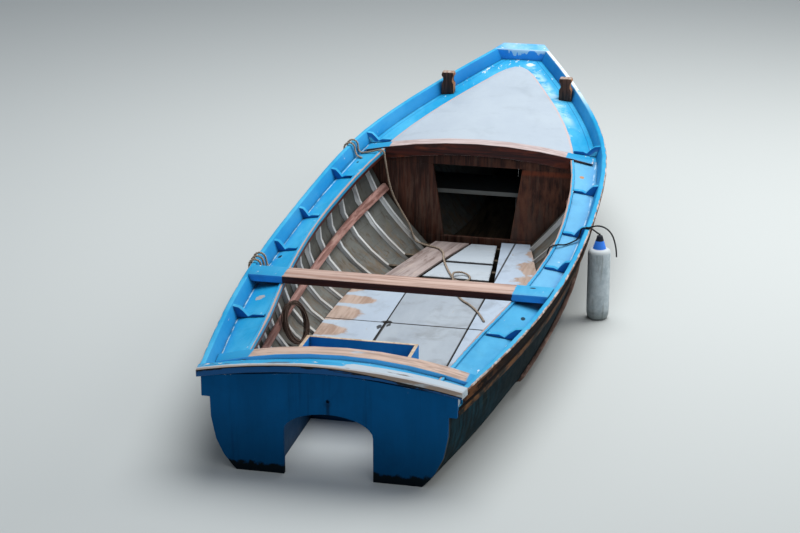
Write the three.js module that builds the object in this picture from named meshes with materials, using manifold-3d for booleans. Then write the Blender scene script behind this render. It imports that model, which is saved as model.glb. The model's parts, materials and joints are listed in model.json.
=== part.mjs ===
// A small open wooden workboat: flat bottom, flared sides on ribs, a foredeck over a cuddy, side
// decks with a toe rail and knees, and an outboard well that opens out through the transom.
// Millimetres. +X is starboard, +Y is the bow, +Z is up. The origin is on the bottom, amidships.
import * as THREE from 'three';
import { mergeVertices } from 'three/addons/utils/BufferGeometryUtils.js';
import Module from 'manifold-3d';

const wasm = await Module();
wasm.setup();

// Driving sizes
const draught = 140;          // bottom to waterline
const sternY = -3200;
const bowY = 3200;
const gap = 0.3;              // left between pieces that touch

// Hull lines, one row per station. Columns: y, half breadth of the rail, rail height above the
// waterline, half breadth of the bottom, fullness of the side (1 is straight, more is rounder)
const hullLines = [
  [-3200, 767, 589, 450, 3.3],
  [-2700, 850, 571, 480, 3.3],
  [-2100, 940, 560, 505, 3.3],
  [-1500, 1005, 557, 515, 3.3],
  [-900, 1039, 566, 515, 3.3],
  [-300, 1049, 587, 505, 3.2],
  [300, 1038, 623, 470, 2.6],
  [900, 1004, 674, 395, 1.6],
  [1400, 930, 730, 300, 1.15],
  [1900, 787, 797, 200, 1.02],
  [2350, 607, 870, 125, 0.9],
  [2750, 415, 945, 85, 0.85],
  [3050, 253, 1006, 72, 0.85],
  [3200, 173, 1039, 70, 1.1],
];
const railHalfColumn = 1;
const railTopColumn = 2;
const bottomHalfColumn = 3;
const fullnessColumn = 4;

// Rise of the bottom towards the ends
const foreFlatEnd = 1400;
const aftFlatEnd = -1700;
const bowRise = 860;
const sternRise = 60;

// Half breadth of the cockpit opening. Columns: y, half breadth
const cockpitLines = [
  [-2760, 590],
  [-2100, 655],
  [-1500, 740],
  [-900, 802],
  [-300, 830],
  [300, 808],
  [800, 765],
  [1180, 700],
];

// Scantlings
const plankWidth = 24;
const ribDepth = 34;
const ribWidth = 32;
const bottomThickness = 25;
const soleTop = 120;
const soleThickness = 20;
const deckThickness = 20;
const railWidth = 36;          // the cap
const railFoot = 72;           // where the rail's inner face meets the deck
const railCapDepth = 30;
const plankSetBack = 75;      // planking in from the rail's edge
const waleSetBack = 27;       // wale and deck edge in from the rail's edge
const waleBottom = 154;       // below the rail
const carlinThickness = 25;
const carlinDepth = 58;
const carlinStand = 8;        // carlin top above the deck
const toeHeight = 92;         // rail above the deck at its side
const deckCamber = 0.00013;
const sternCamber = 0.00007;  // more camber at the stern
const sternCamberStart = -2000;
const hullLevels = [0, 0.08, 0.18, 0.3, 0.46, 0.7, 1];

// Stations that every piece along the boat shares, so that neighbours meet on the same lines
const sharedStations = [
  -2940, -2660, -2380, -2100, -1800, -1500, -1200, -900, -600, -300, 0, 300, 600, 900, 1200,
  1420, 1640, 1860, 2080, 2300, 2500, 2680, 2840, 2980, 3090,
];

// Places along the boat
const transomThickness = 30;
const transomInner = sternY + transomThickness;
const capFront = -3110;
const sternBeam = { aft: -2870, fore: -2740 };
const thwartPlace = { aft: -1515, fore: -1335 };
const foreBeam = { aft: 1170, fore: 1276 };
const bulkhead = { aft: 1200, fore: 1224 };
const breasthookAft = 3085;
const stemAft = 2300;
const soleSeam = -660;
const ribStations = [
  ...Array.from({ length: 11 }, (_, k) => -250 - 227 * k),
  ...Array.from({ length: 5 }, (_, k) => 30 + 264 * k),
];

const paint = {
  skyBlue: [0x4fb0ee, 0.45],
  deepBlue: [0x0a3a70, 0.5],
  paleDeck: [0xcfdcea, 0.6],
  paleSole: [0xbfc8d6, 0.65],
  bareWood: [0xbfa592, 0.8],
  redBrown: [0x45241a, 0.7],
  greyWood: [0x8d8d86, 0.8],
  darkHull: [0x16241f, 0.6],
  strake: [0x7a5c50, 0.75],
  weathered: [0x4a3a30, 0.85],
  fenderGrey: [0x9a9a98, 0.5],
  rope: [0xa89c88, 0.9],
  blackRope: [0x15161a, 0.9],
  brownRope: [0x4b3b33, 0.95],
};

const boat = new THREE.Group();

// Solids
function signedVolume(points, triangles) {
  let volume = 0;
  for (let i = 0; i < triangles.length; i += 3) {
    const [a, b, c] = [0, 1, 2].map((k) => points[triangles[i + k]]);
    volume += a[0] * (b[1] * c[2] - b[2] * c[1])
      - a[1] * (b[0] * c[2] - b[2] * c[0])
      + a[2] * (b[0] * c[1] - b[1] * c[0]);
  }
  return volume;
}

function solidOf(points, triangles) {
  const outward = signedVolume(points, triangles) > 0 ? triangles : [...triangles].reverse();
  const mesh = new wasm.Mesh({
    numProp: 3,
    vertProperties: new Float32Array(points.flat()),
    triVerts: new Uint32Array(outward),
  });
  return new wasm.Manifold(mesh);
}

// Joins closed outlines, one at each place along the boat, into a solid
function loft(places, outlineAt) {
  const outlines = places.map((y) => outlineAt(y));
  const count = outlines[0].length;
  const points = outlines.flatMap((outline, k) => outline.map(([x, z]) => [x, places[k], z]));
  const triangles = [];
  for (let k = 0; k + 1 < places.length; k += 1) {
    for (let i = 0; i < count; i += 1) {
      const a = k * count + i;
      const b = k * count + ((i + 1) % count);
      triangles.push(a, b, b + count, a, b + count, a + count);
    }
  }
  triangles.push(...endCap(outlines[0], 0, -1));
  triangles.push(...endCap(outlines[outlines.length - 1], (places.length - 1) * count, 1));
  return solidOf(points, triangles);
}

// Triangles that close an outline, turned with it or against it
function endCap(outline, first, turn) {
  const flat = outline.map(([x, z]) => new THREE.Vector2(x, z));
  const wanted = Math.sign(THREE.ShapeUtils.area(flat)) * turn;
  return THREE.ShapeUtils.triangulateShape(flat, []).flatMap(([a, b, c]) => {
    const same = Math.sign(THREE.ShapeUtils.area([flat[a], flat[b], flat[c]])) === wanted;
    return (same ? [a, b, c] : [a, c, b]).map((i) => first + i);
  });
}

function solidOfGeometry(geometry) {
  geometry.deleteAttribute('normal');
  geometry.deleteAttribute('uv');
  const merged = mergeVertices(geometry, 1e-3);
  const array = merged.attributes.position.array;
  const points = Array.from({ length: array.length / 3 }, (_, i) => [...array.slice(3 * i, 3 * i + 3)]);
  return solidOf(points, [...merged.index.array]);
}

function box([x0, x1], [y0, y1], [z0, z1]) {
  const geometry = new THREE.BoxGeometry(x1 - x0, y1 - y0, z1 - z0);
  geometry.translate((x0 + x1) / 2, (y0 + y1) / 2, (z0 + z1) / 2);
  return solidOfGeometry(geometry);
}

// An outline seen from astern, as [x, z] points, made solid between two places along the boat
function crossPiece(outline, y0, y1) {
  return loft([y0, y1], () => outline);
}

// An outline seen from above, as [x, y] points, made solid between two heights
function flatPiece(outline, z0, z1) {
  const shape = new THREE.Shape(outline.map(([x, y]) => new THREE.Vector2(x, y)));
  const geometry = new THREE.ExtrudeGeometry(shape, { depth: z1 - z0, bevelEnabled: false });
  geometry.translate(0, 0, z0);
  return solidOfGeometry(geometry);
}

function joined(solids) {
  return solids.reduce((all, one) => all.add(one));
}

// Cuts a piece to fit against others and keeps its main part
function without(solid, cutters) {
  const cut = cutters.reduce((left, cutter) => left.subtract(cutter), solid);
  const parts = cut.decompose();
  return parts.reduce((main, part) => (part.volume() > main.volume() ? part : main));
}

function addPiece(name, solid, [colour, roughness]) {
  const { vertProperties, triVerts } = solid.getMesh();
  const geometry = new THREE.BufferGeometry();
  geometry.setAttribute('position', new THREE.BufferAttribute(new Float32Array(vertProperties), 3));
  geometry.setIndex([...triVerts]);
  geometry.computeVertexNormals();
  const material = new THREE.MeshStandardMaterial({ color: colour, roughness, metalness: 0 });
  const mesh = new THREE.Mesh(geometry, material);
  mesh.name = name;
  boat.add(mesh);
}

// Hull form
function slopeAt(rows, k, column) {
  const low = rows[Math.max(k - 1, 0)];
  const high = rows[Math.min(k + 1, rows.length - 1)];
  return (high[column] - low[column]) / (high[0] - low[0]);
}

// Smooth value of a table's column between its rows
function fair(rows, column, y) {
  const k = Math.min(Math.max(rows.findIndex((row) => row[0] > y) - 1, 0), rows.length - 2);
  const row = y >= rows[rows.length - 1][0] ? rows.length - 2 : k;
  const span = rows[row + 1][0] - rows[row][0];
  const t = (y - rows[row][0]) / span;
  const low = rows[row][column];
  const high = rows[row + 1][column];
  const slopeLow = slopeAt(rows, row, column) * span;
  const slopeHigh = slopeAt(rows, row + 1, column) * span;
  return low * (1 + 2 * t) * (1 - t) ** 2 + high * t * t * (3 - 2 * t)
    + slopeLow * t * (1 - t) ** 2 + slopeHigh * t * t * (t - 1);
}

const railHalf = (y) => fair(hullLines, railHalfColumn, y);
const railTop = (y) => draught + fair(hullLines, railTopColumn, y);
const bottomHalf = (y) => fair(hullLines, bottomHalfColumn, y);
const cockpitHalf = (y) => fair(cockpitLines, 1, y);
const plankTopHalf = (y) => railHalf(y) - plankSetBack;
const deckHalf = (y) => railHalf(y) - waleSetBack;
const railInner = (y) => railHalf(y) - railWidth;
const camberEdge = (y) => railHalf(y) - 50;     // the decks' camber is measured from here
const carlinOuter = (y) => cockpitHalf(y) + carlinThickness;

function deckTop(y, x) {
  const aft = THREE.MathUtils.clamp((sternCamberStart - y) / (sternCamberStart - sternY), 0, 1);
  const camber = deckCamber + sternCamber * aft;
  return railTop(y) - toeHeight + camber * (camberEdge(y) ** 2 - x * x);
}

const plankTop = (y) => deckTop(y, plankTopHalf(y)) - deckThickness - gap;

function bottomZ(y) {
  if (y > foreFlatEnd) return bowRise * ((y - foreFlatEnd) / (bowY - foreFlatEnd)) ** 3;
  if (y < aftFlatEnd) return sternRise * ((y - aftFlatEnd) / (sternY - aftFlatEnd)) ** 2;
  return 0;
}

function levelHeights(y) {
  return hullLevels.map((level) => bottomZ(y) + level * (plankTop(y) - bottomZ(y)));
}

// Half breadth of the hull's outer face at a height, straight between the hull's levels
function hullHalf(y, z) {
  const up = THREE.MathUtils.clamp((z - bottomZ(y)) / (plankTop(y) - bottomZ(y)), 0, 1);
  const above = Math.max(hullLevels.findIndex((level) => level >= up), 1);
  const [low, high] = [hullLevels[above - 1], hullLevels[above]];
  const round = (level) => 1 - (1 - level) ** fair(hullLines, fullnessColumn, y);
  const part = THREE.MathUtils.mapLinear(up, low, high, round(low), round(high));
  return bottomHalf(y) + (plankTopHalf(y) - bottomHalf(y)) * part;
}

function levelsBetween(y, low, high) {
  return [low, ...levelHeights(y).filter((z) => z > low + 8 && z < high - 8), high];
}

function stationsBetween(from, to) {
  return [from, ...sharedStations.filter((y) => y > from + 30 && y < to - 30), to];
}

// A full-width board across the hull's inside, between two heights
function hullSlice(y0, y1, low, high, inset) {
  const middle = (y0 + y1) / 2;
  const starboard = levelsBetween(middle, low, high).map((z) => [hullHalf(middle, z) - inset, z]);
  return crossPiece([...starboard, ...starboard.map(([x, z]) => [-x, z]).reverse()], y0, y1);
}

// Planking and ribs, in lengths that butt together. Grown by the gap, they cut the pieces that fit
// against them. Columns: name, aft end, fore end
const sideLengths = [
  ['aft', transomInner + gap, -1500],
  ['middle', -1500 + gap, -110],
  ['fore', -110 + gap, 1140],
  ['bow', 1140 + gap, bowY],
];

function planking(side, [, aft, fore], grow) {
  return loft(stationsBetween(aft - grow, fore + grow), (y) => {
    const heights = levelHeights(y);
    const lift = (k) => (k === heights.length - 1 ? grow : 0);
    const outer = heights.map((z, k) => [side * (hullHalf(y, z) + grow), z + lift(k)]);
    const inner = heights.map((z, k) => [side * (hullHalf(y, z) - plankWidth - grow), z + lift(k)]);
    return [...outer, ...inner.reverse()];
  });
}

function rib(side, y, grow) {
  const low = bottomZ(y) + bottomThickness + gap - grow;
  const heights = levelsBetween(y, low, plankTop(y) - 12 + grow);
  const outer = heights.map((z) => [side * (hullHalf(y, z) - plankWidth + 8), z]);
  const inner = heights.map((z) => [side * (hullHalf(y, z) - plankWidth - ribDepth - grow), z]).reverse();
  const half = ribWidth / 2 + grow;
  return crossPiece([...outer, ...inner], y - half, y + half);
}

function hullSide(side, length, grow) {
  const [, aft, fore] = length;
  const stations = ribStations.filter((y) => y > aft && y < fore);
  return joined([planking(side, length, grow), ...stations.map((y) => rib(side, y, grow))]);
}

const grownSides = [-1, 1].flatMap((side) => sideLengths.map((length) => hullSide(side, length, gap)));

// Bottom planks, cut away under the well, with the floor timbers that carry the sole
const wellHalf = 320;
const wellBoard = 22;
const wellFront = -2400;
const wellRim = draught + 530;
const tunnelHalf = 260;
const wellBlock = box(
  [-wellHalf - wellBoard - gap, wellHalf + wellBoard + gap],
  [transomInner - 1, wellFront + wellBoard + gap],
  [0, wellRim + gap],
);

function floorTimber(y) {
  const inset = plankWidth + ribDepth + gap;
  const timber = hullSlice(y - ribWidth / 2, y + ribWidth / 2, bottomZ(y) + bottomThickness - 6,
    soleTop - soleThickness - gap, inset);
  return timber.subtract(wellBlock);
}

function bottomPlanks() {
  const half = (y) => bottomHalf(y) - plankWidth - gap;
  const planks = loft(stationsBetween(transomInner + gap, stemAft), (y) => [
    [-half(y), bottomZ(y)],
    [half(y), bottomZ(y)],
    [half(y), bottomZ(y) + bottomThickness],
    [-half(y), bottomZ(y) + bottomThickness],
  ]);
  const wellHole = box([-tunnelHalf, tunnelHalf], [-4000, wellFront], [-50, 300]);
  const timbers = ribStations.map((y) => floorTimber(y));
  return joined([planks.subtract(wellHole), ...timbers]);
}

addPiece('bottom', bottomPlanks(), paint.greyWood);
[['port', -1], ['starboard', 1]].forEach(([name, side]) => {
  sideLengths.forEach((length) => {
    addPiece(`side_${name}_${length[0]}`, hullSide(side, length, 0), paint.greyWood);
  });
});

// Stem: a plank round the forefoot with a bar below it, and a block between the planks' fore ends
const stemHalf = 44;
const stemProud = 34;
const stemDepth = 70;

function stem() {
  const bar = loft(stationsBetween(stemAft + gap, bowY), (y) => {
    const wide = bottomHalf(y) - plankWidth - gap;
    const proud = bottomZ(y) - stemProud * Math.min((y - stemAft) / 300, 1) - 1;
    const high = bottomZ(y) + stemDepth;
    const starboard = [[stemHalf, proud], [wide, bottomZ(y)], [wide, high]];
    return [...starboard, ...starboard.map(([x, z]) => [-x, z]).reverse()];
  });
  const block = loft([3090, bowY], (y) => {
    const starboard = levelHeights(y).map((z) => [hullHalf(y, z) - plankWidth - gap, z]);
    return [...starboard, ...starboard.map(([x, z]) => [-x, z]).reverse()];
  });
  const headHeights = [bottomZ(bowY) - stemProud, plankTop(bowY) - 30];
  const head = box([-stemHalf, stemHalf], [bowY - 1, bowY + 16], headHeights);
  return joined([bar, block, head]);
}

addPiece('stem', stem(), paint.darkHull);

// Transom, with the tunnel's arched mouth and a drain hole
const waleBottomAtStern = draught + 435;
const transomWide = 740;
const capCentre = draught + 675;
const capCamber = 0.00014;
const capDepth = 44;
const capTop = (x) => capCentre - capCamber * x * x;
const capUnder = (x) => capTop(x) - capDepth;

function transom() {
  const low = bottomZ(sternY);
  const heights = levelsBetween(sternY, low, waleBottomAtStern);
  const edge = heights.map((z) => [hullHalf(sternY, z), z]);
  const starboard = [...edge, [transomWide, waleBottomAtStern], [transomWide, capUnder(transomWide) + 10]];
  const port = starboard.map(([x, z]) => [-x, z]).reverse();
  const board = crossPiece([...starboard, [0, capUnder(0) + 10], ...port], sternY, transomInner);
  const mouth = new THREE.Shape();
  mouth.moveTo(-tunnelHalf, 0);
  mouth.lineTo(tunnelHalf, 0);
  mouth.lineTo(tunnelHalf, draught + 265);
  mouth.absellipse(0, draught + 265, tunnelHalf, 121, 0, Math.PI, false, 0);
  const drain = new THREE.Shape();
  drain.absarc(0, draught + 467, 10, 0, 2 * Math.PI, false);
  const cap = capAcross([sternY - 5, capFront], (x) => capUnder(x) - gap);
  return without(board, [cap, ...[mouth, drain].map((shape) => throughStern(shape))]);
}

function capAcross([y0, y1], under) {
  const parts = [-1, -0.8, -0.6, -0.4, -0.2, 0, 0.2, 0.4, 0.6, 0.8, 1];
  return loft([y0, y1], (y) => {
    const across = parts.map((part) => part * railHalf(Math.max(y, sternY)));
    return [...across.map((x) => [x, capTop(x)]), ...across.map((x) => [x, under(x)]).reverse()];
  });
}

function throughStern(shape) {
  const geometry = new THREE.ExtrudeGeometry(shape, { depth: 400, bevelEnabled: false, curveSegments: 8 });
  geometry.rotateX(Math.PI / 2);
  geometry.translate(0, sternY + 200, 0);
  return solidOfGeometry(geometry);
}

addPiece('transom', transom(), paint.deepBlue);

// Well boards: one across, and two that run aft to the transom beside the tunnel
function wellSideBoard(side) {
  const inner = side * wellHalf;
  const outer = side * (wellHalf + wellBoard);
  const board = loft(stationsBetween(transomInner + gap, wellFront + wellBoard), (y) => [
    [inner, bottomZ(y) + bottomThickness + gap],
    [outer, bottomZ(y) + bottomThickness + gap],
    [outer, wellRim],
    [inner, wellRim],
  ]);
  return board;
}

addPiece('well_port', wellSideBoard(-1), paint.deepBlue);
addPiece('well_starboard', wellSideBoard(1), paint.deepBlue);
addPiece('well_front', box([-wellHalf + gap, wellHalf - gap], [wellFront, wellFront + wellBoard],
  [bottomZ(wellFront) + bottomThickness + gap, wellRim]), paint.deepBlue);

// Decks. Grown by the gap upwards, they cut what stands on them
function deckStrip(side, grow) {
  return loft(stationsBetween(transomInner + gap, foreBeam.fore), (y) => {
    const inner = carlinOuter(y) + gap - grow;
    const plank = plankTopHalf(y);
    const across = [inner, inner + 0.5 * (plank - inner), plank, deckHalf(y) + grow];
    const top = across.map((x) => [side * x, deckTop(y, x) + grow]);
    const under = across.map((x) => [side * x, deckTop(y, x) - deckThickness]).reverse();
    return [...top, ...under];
  });
}

function deckAcross(places, widthAt, grow) {
  return loft(places, (y) => {
    const half = [1, 0.97, 0.66, 0.33].map((part) => part * (widthAt(y) + grow));
    if (widthAt === deckHalf) half[1] = plankTopHalf(y);
    const across = [...half, 0, ...half.map((x) => -x).reverse()];
    const top = across.map((x) => [x, deckTop(y, x) + grow]);
    const under = across.map((x) => [x, deckTop(y, x) - deckThickness]).reverse();
    return [...top, ...under];
  });
}

const foredeckStations = stationsBetween(foreBeam.fore + gap, bowY - 10);
const foredeck = (grow) => deckAcross(foredeckStations, deckHalf, grow);
const sternDeckStations = stationsBetween(transomInner + gap, sternBeam.aft);
const sternDeck = (grow) => deckAcross(sternDeckStations, (y) => cockpitHalf(y) - gap, grow);
const sideDecks = (grow) => [-1, 1].map((side) => deckStrip(side, grow));
const grownDecks = [...sideDecks(gap), foredeck(gap), sternDeck(gap)];

// Carlins edge the cockpit
function carlin(side, grow) {
  return loft(stationsBetween(transomInner + gap, foreBeam.fore), (y) => {
    const inner = cockpitHalf(y) - grow;
    const outer = carlinOuter(y) + grow;
    const top = deckTop(y, cockpitHalf(y)) + carlinStand + grow;
    const low = top - carlinDepth - 2 * grow;
    return [[inner, low], [outer, low], [outer, top], [inner, top]]
      .map(([x, z]) => [side * x, z]);
  });
}

const grownCarlins = [-1, 1].map((side) => carlin(side, gap));

addPiece('carlin_port', carlin(-1, 0), paint.skyBlue);
addPiece('carlin_starboard', carlin(1, 0), paint.skyBlue);
addPiece('side_deck_port', deckStrip(-1, 0), paint.skyBlue);
addPiece('side_deck_starboard', deckStrip(1, 0), paint.skyBlue);
addPiece('foredeck', foredeck(0), paint.skyBlue);
addPiece('stern_deck', without(sternDeck(0), grownCarlins), paint.skyBlue);

// Toe rail with a flat cap, and knees from the rail across the deck to the cockpit edge
const kneeStations = [-2030, -780, -130, 660, 1400];
const kneeWidth = 42;
const kneeSkew = 0.22;        // knees run aft as they run inboard

function railLine(side, grow) {
  return loft(stationsBetween(capFront + gap, breasthookAft - gap), (y) => {
    const edge = railHalf(y) + grow;
    const inner = railInner(y) - grow;
    const foot = railHalf(y) - railFoot - grow;
    const web = deckHalf(y) + grow;
    const top = railTop(y) + grow;
    return [
      [foot, deckTop(y, foot) + gap - grow],
      [web, deckTop(y, web) + gap - grow],
      [web, top - railCapDepth],
      [edge, top - railCapDepth],
      [edge, top - 8],
      [edge - 8, top],
      [inner + 4, top],
      [inner, top - 4],
    ].map(([x, z]) => [side * x, z]);
  });
}

const grownRails = [-1, 1].map((side) => railLine(side, gap));

function kneeTip(y) {
  return y > foreBeam.aft ? railHalf(y) - 228 : carlinOuter(y) + 4;
}

function knee(side, y) {
  const root = railInner(y) + 5;
  const tip = kneeTip(y);
  const reach = root - tip;
  const outline = [
    [root, deckTop(y, root) - 12],
    [root, railTop(y) - 9],
    [root - 0.24 * reach, railTop(y) - 13],
    [root - 0.38 * reach, railTop(y) - 34],
    [root - 0.52 * reach, deckTop(y, root) + 34],
    [root - 0.66 * reach, deckTop(y, root - 0.66 * reach) + 20],
    [tip, deckTop(y, tip) + 14],
    [tip, deckTop(y, tip) - 12],
  ];
  const aftAt = (x) => y + kneeSkew * (x - root);
  const faces = [-kneeWidth / 2, kneeWidth / 2].map((half) => (
    outline.map(([x, z]) => [side * x, aftAt(x) + half, z])));
  return skewedPiece(faces);
}

// A piece between two like outlines of [x, y, z] points
function skewedPiece([near, far]) {
  const flat = near.map(([x, , z]) => [x, z]);
  const count = near.length;
  const sides = near.flatMap((_, i) => {
    const j = (i + 1) % count;
    return [i, j, j + count, i, j + count, i + count];
  });
  return solidOf([...near, ...far], [...sides, ...endCap(flat, 0, -1), ...endCap(flat, count, 1)]);
}

function rail(side) {
  const knees = kneeStations.map((y) => without(knee(side, y), [...grownDecks, ...grownCarlins]));
  return joined([railLine(side, 0), ...knees]);
}

// Wale under the deck edge, and the rubbing strake lower down
function wale(side) {
  const line = loft(stationsBetween(transomInner + gap, 3060), (y) => {
    const low = railTop(y) - waleBottom;
    const high = deckTop(y, deckHalf(y)) - deckThickness - gap;
    const thick = plankSetBack - waleSetBack;
    return [
      [hullHalf(y, low) + gap, low],
      [Math.min(hullHalf(y, low) + thick, deckHalf(y)), low],
      [deckHalf(y), high],
      [plankTopHalf(y) + gap, plankTop(y)],
    ].map(([x, z]) => [side * x, z]);
  });
  return without(line, grownSides);
}

const strakeEnds = [-1780, 2500];
const strakeHeight = 46;
const strakeThickness = 28;

function strake(side) {
  const line = loft(stationsBetween(...strakeEnds), (y) => {
    const middle = draught + 115 + 0.047 * (y - strakeEnds[0]) + 0.00004 * Math.max(y, 0) ** 2;
    const [low, high] = [middle - strakeHeight / 2, middle + strakeHeight / 2];
    return [
      [hullHalf(y, low) + gap, low],
      [hullHalf(y, low) + strakeThickness, low + 4],
      [hullHalf(y, high) + strakeThickness, high - 4],
      [hullHalf(y, high) + gap, high],
    ].map(([x, z]) => [side * x, z]);
  });
  return without(line, grownSides);
}

// Stringers across the inner faces of the ribs
const stringerEnds = [-2560, 1190];
const stringerHeight = 46;
const stringerThickness = 20;
const stringerLowest = { y: -1500, z: draught + 157 };
const stringerSheer = 0.0000285;
const stringerZ = (y) => stringerLowest.z + stringerSheer * (y - stringerLowest.y) ** 2;

function stringer(side) {
  const inset = plankWidth + ribDepth + gap;
  const line = loft(stationsBetween(...stringerEnds), (y) => {
    const [low, high] = [stringerZ(y) - stringerHeight / 2, stringerZ(y) + stringerHeight / 2];
    return [
      [hullHalf(y, low) - inset, low],
      [hullHalf(y, high) - inset, high],
      [hullHalf(y, high) - inset - stringerThickness, high],
      [hullHalf(y, low) - inset - stringerThickness, low],
    ].map(([x, z]) => [side * x, z]);
  });
  return without(line, grownSides);
}

[['port', -1], ['starboard', 1]].forEach(([name, side]) => {
  addPiece(`rail_${name}`, rail(side), paint.skyBlue);
  addPiece(`wale_${name}`, wale(side), paint.strake);
  addPiece(`strake_${name}`, strake(side), paint.strake);
  addPiece(`stringer_${name}`, stringer(side), paint.strake);
});

// Planks across the boat, on the decks or between them
const grownAll = [...grownDecks, ...grownCarlins, ...grownRails, ...grownSides];
const beamFractions = [-1, -0.75, -0.5, -0.25, 0, 0.25, 0.5, 0.75, 1];

function beamAcross({ aft, fore }, stand, depth) {
  return loft([aft, fore], (y) => {
    const across = beamFractions.map((part) => part * railInner(y));
    const top = across.map((x) => [x, deckTop(y, x) + stand]);
    const under = across.map((x) => [x, deckTop(y, x) + stand - depth]).reverse();
    return [...top, ...under];
  });
}

const foreBeamStand = 22;
const foreBeamDepth = 96;
const thwartUnder = deckTop(thwartPlace.fore, cockpitHalf(thwartPlace.fore)) + carlinStand + gap;
const thwartThickness = 48;

function thwart() {
  const plank = loft([thwartPlace.aft, thwartPlace.fore], (y) => {
    const reach = railInner(y) - gap;
    const top = thwartUnder + thwartThickness;
    return [[-reach, thwartUnder], [reach, thwartUnder], [reach, top], [-reach, top]];
  });
  return without(plank, grownAll);
}

const foreBeamBlank = beamAcross(foreBeam, foreBeamStand, foreBeamDepth);
// The beam stops at the carlins under the side decks
const underSideDecks = [-1, 1].map((side) => loft([foreBeam.aft - 5, foreBeam.fore + 5], (y) => {
  const [inner, high] = [cockpitHalf(y) - gap, deckTop(y, carlinOuter(y)) - deckThickness / 2];
  return [[inner, high - 200], [1100, high - 200], [1100, high], [inner, high]]
    .map(([x, z]) => [side * x, z]);
}));
addPiece('foredeck_beam', without(foreBeamBlank, [...grownAll, ...underSideDecks]), paint.redBrown);
addPiece('stern_beam', without(beamAcross(sternBeam, 26, 60), grownAll), paint.bareWood);
addPiece('thwart', thwart(), paint.bareWood);

// Cap over the transom
function transomCap() {
  const plank = capAcross([sternY - 5, capFront], capUnder);
  const inboard = loft([transomInner + gap, capFront], () => {
    const across = beamFractions.map((part) => part * transomWide);
    const over = across.map((x) => [x, capUnder(x) + 4]);
    const under = across.map((x) => [x, capUnder(x) - 70]);
    return [...over, ...under.reverse()];
  });
  return without(joined([plank, inboard]), [...grownDecks, ...grownCarlins]);
}

addPiece('transom_cap', transomCap(), paint.bareWood);

// Block across the bow between the rails
function breasthook() {
  const block = loft([breasthookAft, 3120, 3160, bowY], (y) => {
    const [edge, inner, top] = [railHalf(y), deckHalf(y), railTop(y)];
    return [
      [-edge, top - railCapDepth],
      [-inner, top - railCapDepth],
      [-inner, deckTop(y, inner) - 8],
      [inner, deckTop(y, inner) - 8],
      [inner, top - railCapDepth],
      [edge, top - railCapDepth],
      [edge, top - 6],
      [edge - 6, top],
      [6 - edge, top],
      [-edge, top - 6],
    ];
  });
  return without(block, grownDecks);
}

addPiece('breasthook', breasthook(), paint.skyBlue);

// Pale panel laid on the foredeck
const panelMargin = 245;
const panelAft = 1278;
const panelShoulder = 2690;
const panelNose = 2935;
const panelThickness = 6;

function foredeckPanel() {
  const sides = stationsBetween(panelAft, panelShoulder);
  const half = (y) => railHalf(y) - panelMargin;
  const nose = [[0.72, 2800], [0.42, 2888], [0.14, panelNose]].map(([part, y]) => [part * half(panelShoulder), y]);
  const starboard = [...sides.map((y) => [half(y), y]), ...nose];
  const outline = [...starboard, ...starboard.map(([x, y]) => [-x, y]).reverse()];
  const skin = foredeck(0).translate([0, 0, panelThickness]);
  return without(skin.intersect(flatPiece(outline, 400, 1400)), [foredeck(gap), ...grownRails]);
}

addPiece('foredeck_panel', foredeckPanel(), paint.paleDeck);

// Bulkhead under the foredeck beam: header, sill and a panel each side of the opening
const openingTop = draught + 560;
const openingSill = draught;
const openingTopHalf = 340;
const openingSillHalf = 255;
const grownForeBeam = beamAcross(foreBeam, foreBeamStand + gap, foreBeamDepth + 2 * gap);

function bulkheadBoard(low, high) {
  return hullSlice(bulkhead.aft, bulkhead.fore, low, high, 12);
}

function bulkheadPanel(side) {
  const reach = 1200;
  const outline = [
    [openingSillHalf, openingSill + gap],
    [reach, openingSill + gap],
    [reach, openingTop - gap],
    [openingTopHalf, openingTop - gap],
  ].map(([x, z]) => [side * x, z]);
  const blank = bulkheadBoard(openingSill - 5, openingTop + 5);
  const panel = blank.intersect(crossPiece(outline, bulkhead.aft - 5, bulkhead.fore + 5));
  return without(panel, [...grownSides, grownForeBeam]);
}

addPiece('bulkhead_port', bulkheadPanel(-1), paint.redBrown);
addPiece('bulkhead_starboard', bulkheadPanel(1), paint.redBrown);
addPiece('bulkhead_header', without(bulkheadBoard(openingTop, plankTop(bulkhead.fore) + 40),
  [...grownSides, ...grownCarlins, ...grownDecks, grownForeBeam]), paint.redBrown);
const sillBoard = bulkheadBoard(bottomThickness + gap, openingSill);
addPiece('bulkhead_sill', without(sillBoard, grownSides), paint.redBrown);

const shelfPlace = [1300, 1720];
const shelfTop = draught + 341;
const shelfBoard = hullSlice(...shelfPlace, shelfTop - 34, shelfTop, 12);
addPiece('cuddy_shelf', without(shelfBoard, grownSides), paint.greyWood);

// Sole boards. Columns: name, outline seen from above as [x, y] points
const seam = 6;
const soleHalf = (y) => hullHalf(y, soleTop - soleThickness) - plankWidth - 2;
const portSeam = -265;
const starboardSeam = 300;
const soleAftEnd = -2700;
const soleForeEnd = 1180;
const aftEdge = soleSeam - seam;
const portEdge = portSeam - seam;
const starboardEdge = starboardSeam + seam;
const wellClear = wellFront + wellBoard + 8;

// A margin board: its hull edge from aft to fore, then its inner edge back
function marginBoard(from, to, side, innerEdge) {
  return [...stationsBetween(from, to).map((y) => [side * soleHalf(y), y]), ...innerEdge];
}

function plainBoard([x0, x1], [y0, y1]) {
  return [[x0, y0], [x1, y0], [x1, y1], [x0, y1]];
}

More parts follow.
